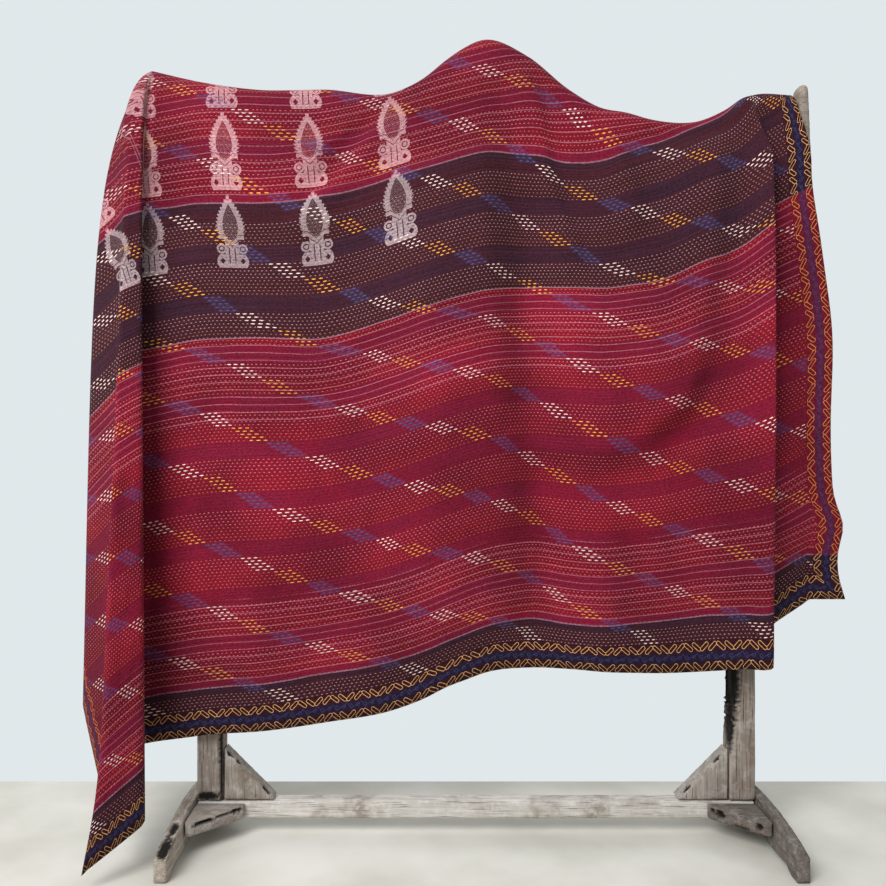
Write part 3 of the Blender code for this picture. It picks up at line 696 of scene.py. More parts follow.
for name, edge, pitch, middle, half in PALE_LINES:
    STRIPE_SUMS += [
        (name + "_from", "SUBTRACT", "wavy", edge),
        (name + "_off", "PINGPONG", name + "_from", pitch / 2),
        (name + "_line", "COMPARE", name + "_off", 0.0, LINE_HALF),
        (name + "_zone", "COMPARE", "w", middle, half),
        (name + "_lines", "MULTIPLY", name + "_line", name + "_zone"),
    ]
STRIPE_SUMS += [
    ("two_bands", "MAXIMUM", "upper_band", "lower_band"),
    ("dark", "MAXIMUM", "two_bands", "back_band"),
    ("edges_up", "MAXIMUM", "upper_edge", "foot_edge"),
    ("edges_low", "MAXIMUM", "lower_edge", "back_edge"),
    ("band_edges", "MAXIMUM", "edges_up", "edges_low"),
    ("two_lines", "ADD", "top_lines", "high_lines"),
    ("pale_lines", "ADD", "two_lines", "low_lines"),
]
for name, operation, *terms in STRIPE_SUMS:
    value[name] = add(cloth, "Math", *[value.get(term, term) for term in terms], operation=operation)
print("sums for the stripes:", len(STRIPE_SUMS))

# %% [markdown]
# The stitching is the heart of a kantha. Rows of running stitch lie 5.6 mm apart. Five rows share one
# thread, and the threads take turns: white, amber, blue. Most stitches only dip up for a millimetre or
# two, in a brick pattern, but in every block three stitches in each row are left long. Each block's long
# stitches stand further right than the last one's, so they make the slanting trails that cross the quilt.

# %% Count the rows and blocks of stitching
ROW_PITCH = 0.005593
WHITE_ROW_W = 0.653           # height of the middle row of one white block
BLOCK_STEP = 0.0535           # how far each block's long stitches stand right of the last one's
TRAIL_PITCH = 0.2185          # from trail to trail along a row
ROW_STEP = 0.0064             # and how far each row's stand right of the row above
TRAIL_U = 0.854               # where a trail crosses that middle row
TRAIL_START = 0.5 - (TRAIL_U + 0.008 - 2 * ROW_STEP) / TRAIL_PITCH
# No hand keeps its rows level over two metres: going down the quilt they drift from their even places.
DRIFTS = (
    # from this height, down to this one, rows lower by, trails further right by
    (1.050, 0.657, 0.0375, 0.000),
    (0.744, 0.657, 0.0000, 0.036),
    (0.657, 0.481, 0.0040, 0.006),
    (0.481, 0.389, 0.0095, 0.005),
    (0.389, 0.134, 0.0020, -0.018),
    (0.134, 0.062, -0.0110, -0.010),
)
rows_lower, trails_right = -0.0360, -0.0330
for begin, finish, lower, right_by in DRIFTS:
    gone = add(cloth, "MapRange", {"Value": value["w"], "From Min": begin, "From Max": finish})
    rows_lower = add(cloth, "Math", gone, lower, rows_lower, operation="MULTIPLY_ADD")
    trails_right = add(cloth, "Math", gone, right_by, trails_right, operation="MULTIPLY_ADD")
value["rows_lower"] = rows_lower
value["trails_right"] = trails_right
ROW_SUMS = (
    ("row_w", "ADD", "w", "rows_lower"),
    ("below", "SUBTRACT", WHITE_ROW_W + 2.5 * ROW_PITCH, "row_w"),
    ("row_at", "DIVIDE", "below", ROW_PITCH),
    ("row", "FLOOR", "row_at"),
    ("row_part", "FRACT", "row_at"),
    ("row_off", "MULTIPLY_ADD", "row_part", ROW_PITCH, -ROW_PITCH / 2),
    ("block_at", "DIVIDE", "row_at", 5.0),
    ("block", "FLOOR", "block_at"),
    ("row_in_block", "MULTIPLY_ADD", "block", -5.0, "row"),
    ("thread", "FLOORED_MODULO", "block", 3.0),
    ("amber", "COMPARE", "thread", 1.0, 0.1),
    ("blue", "COMPARE", "thread", 2.0, 0.1),
    # Where the thread is blue the ground looks plum, and the two tones run into each other.
    ("plum_angle", "MULTIPLY_ADD", "block_at", 2 * math.pi / 3, -5 * math.pi / 3),
    ("plum_wave", "COSINE", "plum_angle"),
    ("plum_share", "MULTIPLY_ADD", "plum_wave", 2.4, -0.7),
    ("plum_least", "MAXIMUM", "plum_share", 0.0),
    ("plum_most", "MINIMUM", "plum_least", 1.0),
    ("plum_uneven", "MULTIPLY_ADD", "hand", 1.3, -0.20),
    ("plum", "MULTIPLY", "plum_most", "plum_uneven"),
    # The hand that stitched it spread the trails a little at the left and closed them in the middle.
    ("left_of", "SUBTRACT", 1.040, "u"),
    ("left_clip", "MAXIMUM", "left_of", 0.0),
    ("right_of", "SUBTRACT", "u", 1.040),
    ("right_clip", "MAXIMUM", "right_of", 0.0),
    ("right_share", "MINIMUM", "right_clip", 0.260),
    ("spread_left", "MULTIPLY_ADD", "left_clip", 0.11, "u"),
    ("even_u", "MULTIPLY_ADD", "right_share", 0.09, "spread_left"),
    ("hand_u", "MULTIPLY_ADD", "hand", 0.016, "even_u"),
    ("trail_shift", "MULTIPLY", "block", BLOCK_STEP),
    ("row_shift", "MULTIPLY_ADD", "row_in_block", ROW_STEP, "trail_shift"),
    ("trail_u", "SUBTRACT", "hand_u", "trails_right"),
    ("from_trail", "SUBTRACT", "trail_u", "row_shift"),
    ("trail_at", "MULTIPLY_ADD", "from_trail", 1 / TRAIL_PITCH, TRAIL_START),
    ("trail_part", "FRACT", "trail_at"),
    ("trail_off", "MULTIPLY_ADD", "trail_part", TRAIL_PITCH, -TRAIL_PITCH / 2),
    ("trail_away", "ABSOLUTE", "trail_off"),
)
for name, operation, *terms in ROW_SUMS:
    value[name] = add(cloth, "Math", *[value.get(term, term) for term in terms], operation=operation)
print("rows of stitching:", round(QUILT_LENGTH / ROW_PITCH))

# %% Sew the long and the short stitches
LONG_PITCH = 0.0110
LONG_HALF = (0.0033, 0.00092)  # half length and half width of a long stitch
SHORT_PITCH = 0.0074
SHORT_HALF = (0.0014, 0.00072)
STITCH_SUMS = (
    ("long_at", "MULTIPLY_ADD", "trail_off", 1 / LONG_PITCH, 0.5),
    ("long_part", "FRACT", "long_at"),
    ("long_x", "MULTIPLY_ADD", "long_part", LONG_PITCH / LONG_HALF[0], -LONG_PITCH / LONG_HALF[0] / 2),
    ("long_y", "DIVIDE", "row_off", LONG_HALF[1]),
    ("long_x2", "MULTIPLY", "long_x", "long_x"),
    ("long_r", "MULTIPLY_ADD", "long_y", "long_y", "long_x2"),
    ("long_shape", "LESS_THAN", "long_r", 1.0),
    ("trail_all", "LESS_THAN", "trail_away", 1.5 * LONG_PITCH),
    ("in_trail", "MULTIPLY", "trail_all", "inside"),
    ("long", "MULTIPLY", "long_shape", "in_trail"),
    ("off_trail", "SUBTRACT", "inside", "in_trail"),
    ("odd_row", "FLOORED_MODULO", "row", 2.0),
    ("brick", "MULTIPLY", "odd_row", 0.5),
    ("short_at", "MULTIPLY_ADD", "hand_u", 1 / SHORT_PITCH, "brick"),
    ("short_part", "FRACT", "short_at"),
    ("short_x", "MULTIPLY_ADD", "short_part", SHORT_PITCH / SHORT_HALF[0], -SHORT_PITCH / SHORT_HALF[0] / 2),
    ("short_y", "DIVIDE", "row_off", SHORT_HALF[1]),
    ("short_x2", "MULTIPLY", "short_x", "short_x"),
    ("short_r", "MULTIPLY_ADD", "short_y", "short_y", "short_x2"),
    ("short_shape", "LESS_THAN", "short_r", 1.0),
    # The dark band is plain along its top.
    ("band_head", "COMPARE", "w", BAND_TOP_W - 0.018, 0.018),
    ("below_head", "SUBTRACT", 1.0, "band_head"),
    ("short_open", "MULTIPLY", "short_shape", "below_head"),
    ("short", "MULTIPLY", "short_open", "off_trail"),
    ("blue_trail", "MULTIPLY", "in_trail", "blue"),
)
for name, operation, *terms in STITCH_SUMS:
    value[name] = add(cloth, "Math", *[value.get(term, term) for term in terms], operation=operation)
print("short stitches:", round(QUILT_LENGTH / ROW_PITCH * QUILT_WIDTH / SHORT_PITCH))

# %% [markdown]
# The border runs round all four edges: two rows of slanting links in gold thread, two links one way and
# two the other, and between them a band worked solid in navy with a blue running scroll on it. A link is
# a long loop with round ends, so its line keeps one distance from a short straight piece in its middle.

# %% Embroider the border
PAIR_PITCH = 0.0292           # from one pair of links to the next
LINK_SLANT = math.radians(41)
LINK_HALF = 0.0058            # half length of a link's straight sides
LINK_ROUND = 0.0029           # radius of its rounded ends
LINK_LINE = 0.00055           # half width of its thread
ROW_HALF = 0.0088             # half width of a row of links
NAVY_HALF = 0.0078
OUTER_ROW = 0.0074            # how far the middles of the rows and of the band are from the quilt's edge
NAVY_ROW = 0.0222
INNER_ROW = 0.0374
SCROLL_PITCH = 0.0265
SIN_SLANT, COS_SLANT = math.sin(LINK_SLANT), math.cos(LINK_SLANT)
BORDER_SUMS = (
    ("row_near", "COMPARE", "edge", OUTER_ROW, ROW_HALF),
    ("row_far", "COMPARE", "edge", INNER_ROW, ROW_HALF),
    ("gold_rows", "MAXIMUM", "row_near", "row_far"),
    ("half_way", "GREATER_THAN", "edge", NAVY_ROW),
    ("middle", "MULTIPLY_ADD", "half_way", INNER_ROW - OUTER_ROW, OUTER_ROW),
    ("link_y", "SUBTRACT", "edge", "middle"),
    ("pair_at", "DIVIDE", "along", PAIR_PITCH),
    ("pair_no", "FLOOR", "pair_at"),
    ("pair_odd", "FLOORED_MODULO", "pair_no", 2.0),
    ("sense", "MULTIPLY_ADD", "pair_odd", 2.0, -1.0),
    ("pair_part", "FRACT", "pair_at"),
    ("pair_x", "MULTIPLY_ADD", "pair_part", PAIR_PITCH, -PAIR_PITCH / 2),
    ("sense_y", "MULTIPLY", "link_y", "sense"),
    ("rise", "MULTIPLY", "sense_y", SIN_SLANT),
    ("long_way", "MULTIPLY_ADD", "pair_x", COS_SLANT, "rise"),
    ("lean_in", "MULTIPLY", "pair_x", -SIN_SLANT),
    ("wide_way", "MULTIPLY_ADD", "sense_y", COS_SLANT, "lean_in"),
    *(
        row
        for link, shift in (("one", PAIR_PITCH / 4), ("two", -PAIR_PITCH / 4))
        for row in (
            (link + "_long", "ADD", "long_way", shift * COS_SLANT),
            (link + "_wide", "SUBTRACT", "wide_way", shift * SIN_SLANT),
            (link + "_size", "ABSOLUTE", link + "_long"),
            (link + "_past", "SUBTRACT", link + "_size", LINK_HALF),
            (link + "_end", "MAXIMUM", link + "_past", 0.0),
            (link + "_sq", "MULTIPLY", link + "_end", link + "_end"),
            (link + "_sum", "MULTIPLY_ADD", link + "_wide", link + "_wide", link + "_sq"),
            (link + "_r", "SQRT", link + "_sum"),
            (link + "_line", "COMPARE", link + "_r", LINK_ROUND, LINK_LINE),
        )
    ),
    ("links", "MAXIMUM", "one_line", "two_line"),
    ("gold", "MULTIPLY", "links", "gold_rows"),
    ("navy", "COMPARE", "edge", NAVY_ROW, NAVY_HALF),
    ("scroll_at", "MULTIPLY", "along", 2 * math.pi / SCROLL_PITCH),
    ("scroll_in", "SINE", "scroll_at"),
    ("scroll_late", "MULTIPLY_ADD", "scroll_in", -0.9, "scroll_at"),
    ("scroll_wave", "SINE", "scroll_late"),
    ("scroll_y", "MULTIPLY_ADD", "scroll_wave", 0.0052, NAVY_ROW),
    ("scroll_line", "COMPARE", "edge", "scroll_y", 0.0007),
    ("hook_at", "MULTIPLY_ADD", "along", 2 / SCROLL_PITCH, 0.25),
    ("hook_part", "FRACT", "hook_at"),
    ("hook_x", "MULTIPLY_ADD", "hook_part", SCROLL_PITCH / 2, -SCROLL_PITCH / 4),
    ("hook_y", "SUBTRACT", "edge", NAVY_ROW),
    ("hook_sq", "MULTIPLY", "hook_x", "hook_x"),
    ("hook_sum", "MULTIPLY_ADD", "hook_y", "hook_y", "hook_sq"),
    ("hook_r", "SQRT", "hook_sum"),
    ("hook", "COMPARE", "hook_r", 0.0026, 0.0006),
    ("scroll_both", "MAXIMUM", "scroll_line", "hook"),
    ("scroll", "MULTIPLY", "scroll_both", "navy"),
)
for name, operation, *terms in BORDER_SUMS:
    value[name] = add(cloth, "Math", *[value.get(term, term) for term in terms], operation=operation)
print("gold links round the edge:", round(8 * (QUILT_WIDTH + QUILT_LENGTH) / PAIR_PITCH))

# %% [markdown]
# One corner of the quilt is cut from the end of a sari that has rows of woven buds on it, each about
# 55 mm wide and 132 mm high: a toothed almond with a hatched eye, two spread arms, a pair of curls and a
# block of two scrolled feet with slots between them. One bud is drawn from a few circles and slopes,
# folded about its own middle, and repeated in columns and rows.

# %% Weave the buds
BUD_COLUMN = 0.1520           # from bud to bud along a row
BUD_ROW = 0.1405              # and from row to row
BUD_U = 0.6770                # middle of one column
BUD_FOOT_W = 0.842            # foot of the lowest row
ALMOND_FOOT = 0.0490          # heights on the bud
ALMOND_HIGH = 0.0820
TOOTH = 0.0066
BUD_SUMS = (
    ("bud_at", "MULTIPLY_ADD", "u", 1 / BUD_COLUMN, 0.5 - BUD_U / BUD_COLUMN + 20),
    ("bud_part", "FRACT", "bud_at"),
    ("bud_off", "MULTIPLY_ADD", "bud_part", BUD_COLUMN, -BUD_COLUMN / 2),
    ("bx", "ABSOLUTE", "bud_off"),
    ("tier_at", "MULTIPLY_ADD", "w", 1 / BUD_ROW, -BUD_FOOT_W / BUD_ROW),
    ("tier_part", "FRACT", "tier_at"),
    ("by", "MULTIPLY", "tier_part", BUD_ROW),
    # The almond, with teeth along its outside and a hatched eye inside.
    ("almond_y", "MULTIPLY_ADD", "by", 1 / ALMOND_HIGH, -ALMOND_FOOT / ALMOND_HIGH),
    ("almond_up", "SUBTRACT", 1.0, "almond_y"),
    ("almond_clip", "MAXIMUM", "almond_y", 0.0),
    ("almond_root", "SQRT", "almond_clip"),
    ("almond_wide", "MULTIPLY", "almond_root", "almond_up"),
    ("teeth_at", "DIVIDE", "by", TOOTH),
    ("teeth_part", "FRACT", "teeth_at"),
    ("outer", "MULTIPLY_ADD", "almond_wide", 0.0620, -0.0010),
    ("toothed", "MULTIPLY_ADD", "teeth_part", 0.0048, "outer"),
    ("almond_fill", "LESS_THAN", "bx", "toothed"),
    ("inner", "SUBTRACT", "outer", 0.0084),
    ("eye_in", "LESS_THAN", "bx", "inner"),
    ("hatch_at", "MULTIPLY_ADD", "bx", -190.0, "teeth_at"),
    ("hatch_two", "MULTIPLY", "hatch_at", 2.0),
    ("hatch_part", "FRACT", "hatch_two"),
    ("hatch", "LESS_THAN", "hatch_part", 0.16),
    ("eye_dark", "SUBTRACT", 1.0, "hatch"),
    ("eye", "MULTIPLY", "eye_in", "eye_dark"),
    ("ring_eye", "SUBTRACT", 1.0, "eye"),
    ("almond", "MULTIPLY", "almond_fill", "ring_eye"),
    # Two arms part the almond from the feet. They rise from the middle and then level out.
    ("arm_slope", "MULTIPLY", "bx", 0.90),
    ("arm_bend", "MINIMUM", "arm_slope", 0.0130),
    ("arm_y", "SUBTRACT", "by", "arm_bend"),
    ("over_arm", "GREATER_THAN", "arm_y", 0.0490),
    ("bud_top", "MULTIPLY", "almond", "over_arm"),
    ("arm_band", "COMPARE", "arm_y", 0.0438, 0.0036),
    ("arm_reach", "LESS_THAN", "bx", 0.0235),
    ("arms", "MULTIPLY", "arm_band", "arm_reach"),
    # The body under them: a stem, a curl at each side, and two round feet.
    ("under_arm", "LESS_THAN", "arm_y", 0.0385),
    ("stem", "LESS_THAN", "bx", 0.0125),
    ("curl_x", "SUBTRACT", "bx", 0.0195),
    ("curl_y", "SUBTRACT", "by", 0.0350),
    ("curl_x2", "MULTIPLY", "curl_x", "curl_x"),
    ("curl_sq", "MULTIPLY_ADD", "curl_y", "curl_y", "curl_x2"),
    ("curl_r", "SQRT", "curl_sq"),
    ("curl", "LESS_THAN", "curl_r", 0.0092),
    ("curl_gap", "COMPARE", "curl_r", 0.0046, 0.0009),
    ("foot_up", "SUBTRACT", "by", 0.0110),
    ("foot_sq", "MULTIPLY", "foot_up", "foot_up"),
    ("foot_side", "MULTIPLY_ADD", "foot_sq", -32.0, 0.0290),
    ("foot_wide", "LESS_THAN", "bx", "foot_side"),
    ("foot_high", "LESS_THAN", "by", 0.0250),
    ("foot", "MULTIPLY", "foot_wide", "foot_high"),
    ("slot_x", "COMPARE", "bx", 0.0052, 0.0009),
    ("slot_y", "COMPARE", "by", 0.0225, 0.0145),
    ("slot", "MULTIPLY", "slot_x", "slot_y"),
    ("leaf_x", "SUBTRACT", "bx", 0.0185),
    ("leaf_size", "ABSOLUTE", "leaf_x"),
    ("leaf_y", "SUBTRACT", "by", 0.0125),
    ("leaf_up", "ABSOLUTE", "leaf_y"),
    ("leaf_sum", "MULTIPLY_ADD", "leaf_up", 0.85, "leaf_size"),
    ("leaf", "LESS_THAN", "leaf_sum", 0.0050),
    ("solid_low", "MAXIMUM", "foot", "stem"),
    ("solid_all", "MAXIMUM", "solid_low", "curl"),
    ("cuts_two", "MAXIMUM", "curl_gap", "slot"),
    ("cuts_all", "MAXIMUM", "cuts_two", "leaf"),
    ("uncut", "SUBTRACT", 1.0, "cuts_all"),
    ("body_cut", "MULTIPLY", "solid_all", "uncut"),
    ("body", "MULTIPLY", "body_cut", "under_arm"),
    ("lower_bud", "MAXIMUM", "body", "arms"),
    ("whole_bud", "MAXIMUM", "lower_bud", "bud_top"),
    ("bud_left", "LESS_THAN", "u", 1.195),
    ("bud_over", "GREATER_THAN", "w", BUD_FOOT_W),
    ("bud_panel", "MULTIPLY", "bud_left", "bud_over"),
    ("bud_clean", "MULTIPLY", "whole_bud", "bud_panel"),
    ("bud", "MULTIPLY", "bud_clean", "inside"),
    ("thread_off", "PINGPONG", "w", 0.0009),
    ("thread_cover", "MULTIPLY_ADD", "thread_off", 320.0, 0.42),
    ("bud_worn", "MULTIPLY_ADD", "hand", 0.7, 0.62),
    ("bud_cover", "MULTIPLY", "thread_cover", "bud_worn"),
    ("bud_weft", "MULTIPLY", "bud", "bud_cover"),
    # Two fine pale warp lines stand by the buds' first column.
    ("warp_off", "SUBTRACT", "u", 0.6300),
    ("warp_two", "ABSOLUTE", "warp_off"),
    ("warp_line", "COMPARE", "warp_two", 0.0024, 0.0008),
    ("warp_lines", "MULTIPLY", "warp_line", "bud_panel"),
)
for name, operation, *terms in BUD_SUMS:
    value[name] = add(cloth, "Math", *[value.get(term, term) for term in terms], operation=operation)
print("buds in a row every", BUD_COLUMN, "m")

# %% [markdown]
# Now the colours, laid over each other as the cloth is made: the dyed ground with its uneven weft, the
# pale woven lines and buds, then the navy band, then the running stitches and the gold links on top.
# Cotton this old has no gloss left, so the shader is rough and its colours are deep.

# %% Dye and colour the cloth
weft_place = add(cloth, "VectorMath", flat_place, (3.4, 210.0, 1.0), operation="MULTIPLY")
weft = add(cloth, "TexNoise", {"Vector": weft_place, "Scale": 1.0, "Detail": 4.0}, noise_dimensions="2D")
fade = add(cloth, "TexNoise", {"Vector": flat_place, "Scale": 5.5, "Detail": 4.0}, noise_dimensions="2D")
weft_tone = add(cloth, "MapRange", {"Value": weft, "From Min": 0.30, "From Max": 0.70})
fade_tone = add(cloth, "MapRange", {"Value": fade, "From Min": 0.32, "From Max": 0.68})
worn_value = add(cloth, "MapRange", fade, 0.30, 0.70, 0.90, 1.10)

COTTONS = {
    "ruby_low": "#691226", "ruby_high": "#80152A", "plum_low": "#69192E", "plum_high": "#7D1B36",
    "dusk_low": "#391820", "dusk_high": "#461E27", "night_low": "#2C1B28", "night_high": "#392232",
    "line_pale": "#BE7686", "edge_pale": "#966878", "bud_on_red": "#E6B4BA", "bud_on_dusk": "#C8B0B4",
    "warp_pale": "#A88088", "border_red": "#6E1226", "border_dusk": "#2C1118", "purple_thread": "#521E3C",
    "navy_thread": "#221A34", "scroll_red": "#5A4470", "scroll_dusk": "#474C76", "gold_red": "#D88844",
    "gold_dusk": "#DCA46A", "white_on_red": "#D4827E", "white_on_dusk": "#B29894", "white_long": "#F4DCD2",
    "amber_on_red": "#D07052", "amber_on_dusk": "#A68270", "amber_long": "#F0A648",
    "blue_on_red": "#5E103C", "blue_on_dusk": "#33223C", "blue_long": "#505082",
}
shade = {name: linear(code) for name, code in COTTONS.items()}
BLENDS = (
    # result, share of the second one, two cottons
    ("ruby", fade_tone, "ruby_low", "ruby_high"),
    ("plum", weft_tone, "plum_low", "plum_high"),
    ("dusk", weft_tone, "dusk_low", "dusk_high"),
    ("night", weft_tone, "night_low", "night_high"),
    ("red_ground", value["plum"], "ruby", "plum"),
    ("dark_ground", value["plum"], "dusk", "night"),
    ("border_ground", value["dark"], "border_red", "border_dusk"),
    ("bud_cotton", value["dark"], "bud_on_red", "bud_on_dusk"),
    ("middle_thread", value["dark"], "purple_thread", "navy_thread"),
    ("scroll_thread", value["dark"], "scroll_red", "scroll_dusk"),
    ("gold_thread", value["dark"], "gold_red", "gold_dusk"),
    ("white_short", value["dark"], "white_on_red", "white_on_dusk"),
    ("amber_short", value["dark"], "amber_on_red", "amber_on_dusk"),
    ("blue_short", value["dark"], "blue_on_red", "blue_on_dusk"),
    ("two_shorts", value["amber"], "white_short", "amber_short"),
    ("short_thread", value["blue"], "two_shorts", "blue_short"),
    ("two_longs", value["amber"], "white_long", "amber_long"),
    ("long_thread", value["blue"], "two_longs", "blue_long"),
)
for name, share, first, second in BLENDS:
    shade[name] = add(cloth, "Mix", share, shade[first], shade[second], data_type="RGBA")

COVERS = {
    # how much of what lies below each layer hides
    "pale_lines": (value["pale_lines"], 0.54),
    "band_edges": (value["band_edges"], 0.85), "border": (value["border"], 0.70),
    "navy": (value["navy"], 0.85), "scroll": (value["scroll"], 0.50), "warp": (value["warp_lines"], 0.45),
    "glow": (value["blue_trail"], 0.11), "short": (value["short"], 0.76), "long": (value["long"], 0.96),
}
cover = {}
for name, (amount, share) in COVERS.items():
    cover[name] = add(cloth, "Math", amount, share, operation="MULTIPLY")
line_cover = add(cloth, "Math", cover["pale_lines"], value["inside"], operation="MULTIPLY")

OVERLAYS = (
    # result, share, under, over
    ("ground", value["dark"], "red_ground", "dark_ground"),
    ("lined", line_cover, "ground", "line_pale"),
    ("edged", cover["band_edges"], "lined", "edge_pale"),
    ("warped", cover["warp"], "edged", "warp_pale"),
    ("woven", value["bud_weft"], "warped", "bud_cotton"),
    ("glowing", cover["glow"], "woven", "long_thread"),
    ("framed", cover["border"], "glowing", "border_ground"),
    ("banded", cover["navy"], "framed", "middle_thread"),
    ("scrolled", cover["scroll"], "banded", "scroll_thread"),
    ("linked", value["gold"], "scrolled", "gold_thread"),
    ("dotted", cover["short"], "linked", "short_thread"),
    ("stitched", cover["long"], "dotted", "long_thread"),
)
for name, share, under, over in OVERLAYS:
    shade[name] = add(cloth, "Mix", share, shade[under], shade[over], data_type="RGBA")
# Painted shade: the colour is darkened towards the hem, from just below the rail up over it and down the
# back, and in a strip beside the tail's fold, where the tail's shadow falls on the front.
hem_painted_shade = add(cloth, "MapRange", value["w"], 0.42, 0.20, 1.0, 0.90)
rail_painted_shade = add(cloth, "MapRange", value["w"], 0.93, 1.06, 1.0, 0.78)
# The painted shadow of the tail: darkest at its fold and gone about 80 mm to the right of it.
from_fold = add(cloth, "Math", value["w"], -LEAN, value["u"], operation="MULTIPLY_ADD")
fold_painted_shadow = add(cloth, "MapRange", from_fold, 0.605, 0.685, 0.80, 1.0)
left_of_fold = add(cloth, "Math", from_fold, 0.605, operation="LESS_THAN")
fold_shadow_or_none = add(cloth, "Math", fold_painted_shadow, left_of_fold, operation="MAXIMUM")
# The weave itself is uneven from thread to thread.
grain_place = add(cloth, "VectorMath", flat_place, (210.0, 340.0, 1.0), operation="MULTIPLY")
grain = add(cloth, "TexNoise", {"Vector": grain_place, "Scale": 1.0, "Detail": 2.0}, noise_dimensions="2D")
grain_value = add(cloth, "MapRange", grain, 0.30, 0.70, 0.72, 1.28)
# The painted shade, times the weave's unevenness and the dye's random fade, darkens the cloth's colour.
hem_and_rail_shade = add(cloth, "Math", hem_painted_shade, rail_painted_shade, operation="MULTIPLY")
all_painted_shade = add(cloth, "Math", hem_and_rail_shade, fold_shadow_or_none, operation="MULTIPLY")
painted_shade_and_grain = add(cloth, "Math", all_painted_shade, grain_value, operation="MULTIPLY")
depth = add(cloth, "Math", worn_value, painted_shade_and_grain, operation="MULTIPLY")
worn_and_shaded = add(cloth, "HueSaturation", {"Color": (shade["stitched"], "Result"), "Value": depth})
cloth.links.new(worn_and_shaded.outputs["Color"], cotton_shader.inputs["Base Color"])
cotton_shader.inputs["Roughness"].default_value = 0.95
cotton_shader.inputs["Specular IOR Level"].default_value = 0.10
cotton_shader.inputs["Sheen Weight"].default_value = 0.03
cotton_shader.inputs["Sheen Roughness"].default_value = 0.5
print("layers of colour:", len(BLENDS) + len(OVERLAYS))

# %% [markdown]
# A kantha is never flat: each row of stitches draws the layers together, so the cloth swells between the
# rows and dimples at every stitch, and the border's thread stands up from it. Rows this close would take
# millions of faces, so they are a height for the shader's bump instead.

# %% Quilt the surface
RELIEF_SUMS = (
    ("swell_at", "MULTIPLY", "row_at", 2 * math.pi),
    ("swell", "COSINE", "swell_at"),
    ("swell_up", "MULTIPLY_ADD", "swell", 0.30, 0.50),
    ("swell_in", "MULTIPLY", "swell_up", "inside"),
    ("long_up", "MULTIPLY_ADD", "long", 0.45, "swell_in"),
    ("short_up", "MULTIPLY_ADD", "short", 0.20, "long_up"),
    ("gold_up", "MULTIPLY_ADD", "gold", 0.95, "short_up"),
    ("scroll_up", "MULTIPLY_ADD", "scroll", 0.40, "gold_up"),
)
for name, operation, *terms in RELIEF_SUMS:
    value[name] = add(cloth, "Math", *[value.get(term, term) for term in terms], operation=operation)
pucker_place = add(cloth, "VectorMath", flat_place, (210.0, 95.0, 1.0), operation="MULTIPLY")
pucker = add(cloth, "TexNoise", {"Vector": pucker_place, "Scale": 1.0, "Detail": 2.0}, noise_dimensions="2D")
crumple = add(cloth, "TexNoise", {"Vector": flat_place, "Scale": 26.0, "Detail": 3.0}, noise_dimensions="2D")
stitch_bump = add(cloth, "Bump", {"Strength": 0.75, "Distance": 0.0011, "Height": value["scroll_up"]})
pucker_up = {"Strength": 0.55, "Distance": 0.0012, "Height": pucker, "Normal": stitch_bump}
pucker_bump = add(cloth, "Bump", pucker_up)
crumple_up = {"Strength": 0.5, "Distance": 0.006, "Height": crumple, "Normal": pucker_bump}
crumple_bump = add(cloth, "Bump", crumple_up)
cloth.links.new(crumple_bump.outputs["Normal"], cotton_shader.inputs["Normal"])
print("nodes in the cotton:", len(cloth.nodes))

# %% [markdown]
# ## The weathered wood
#
# Teak left outdoors loses its soft early wood first, so its faces turn into fine ridges along the grain,
# its corners go round, and where water stands it rots black. Each solid of the rack is copied, its loose
# triangles are merged, and a remesh gives it even faces that can be worn in code: ridges along the
# piece's own grain, and hollows where a short table puts them. The hollows are also kept as a number on
# each point, so that the finish can darken them.

# %% Wear the wooden pieces
from mathutils import noise

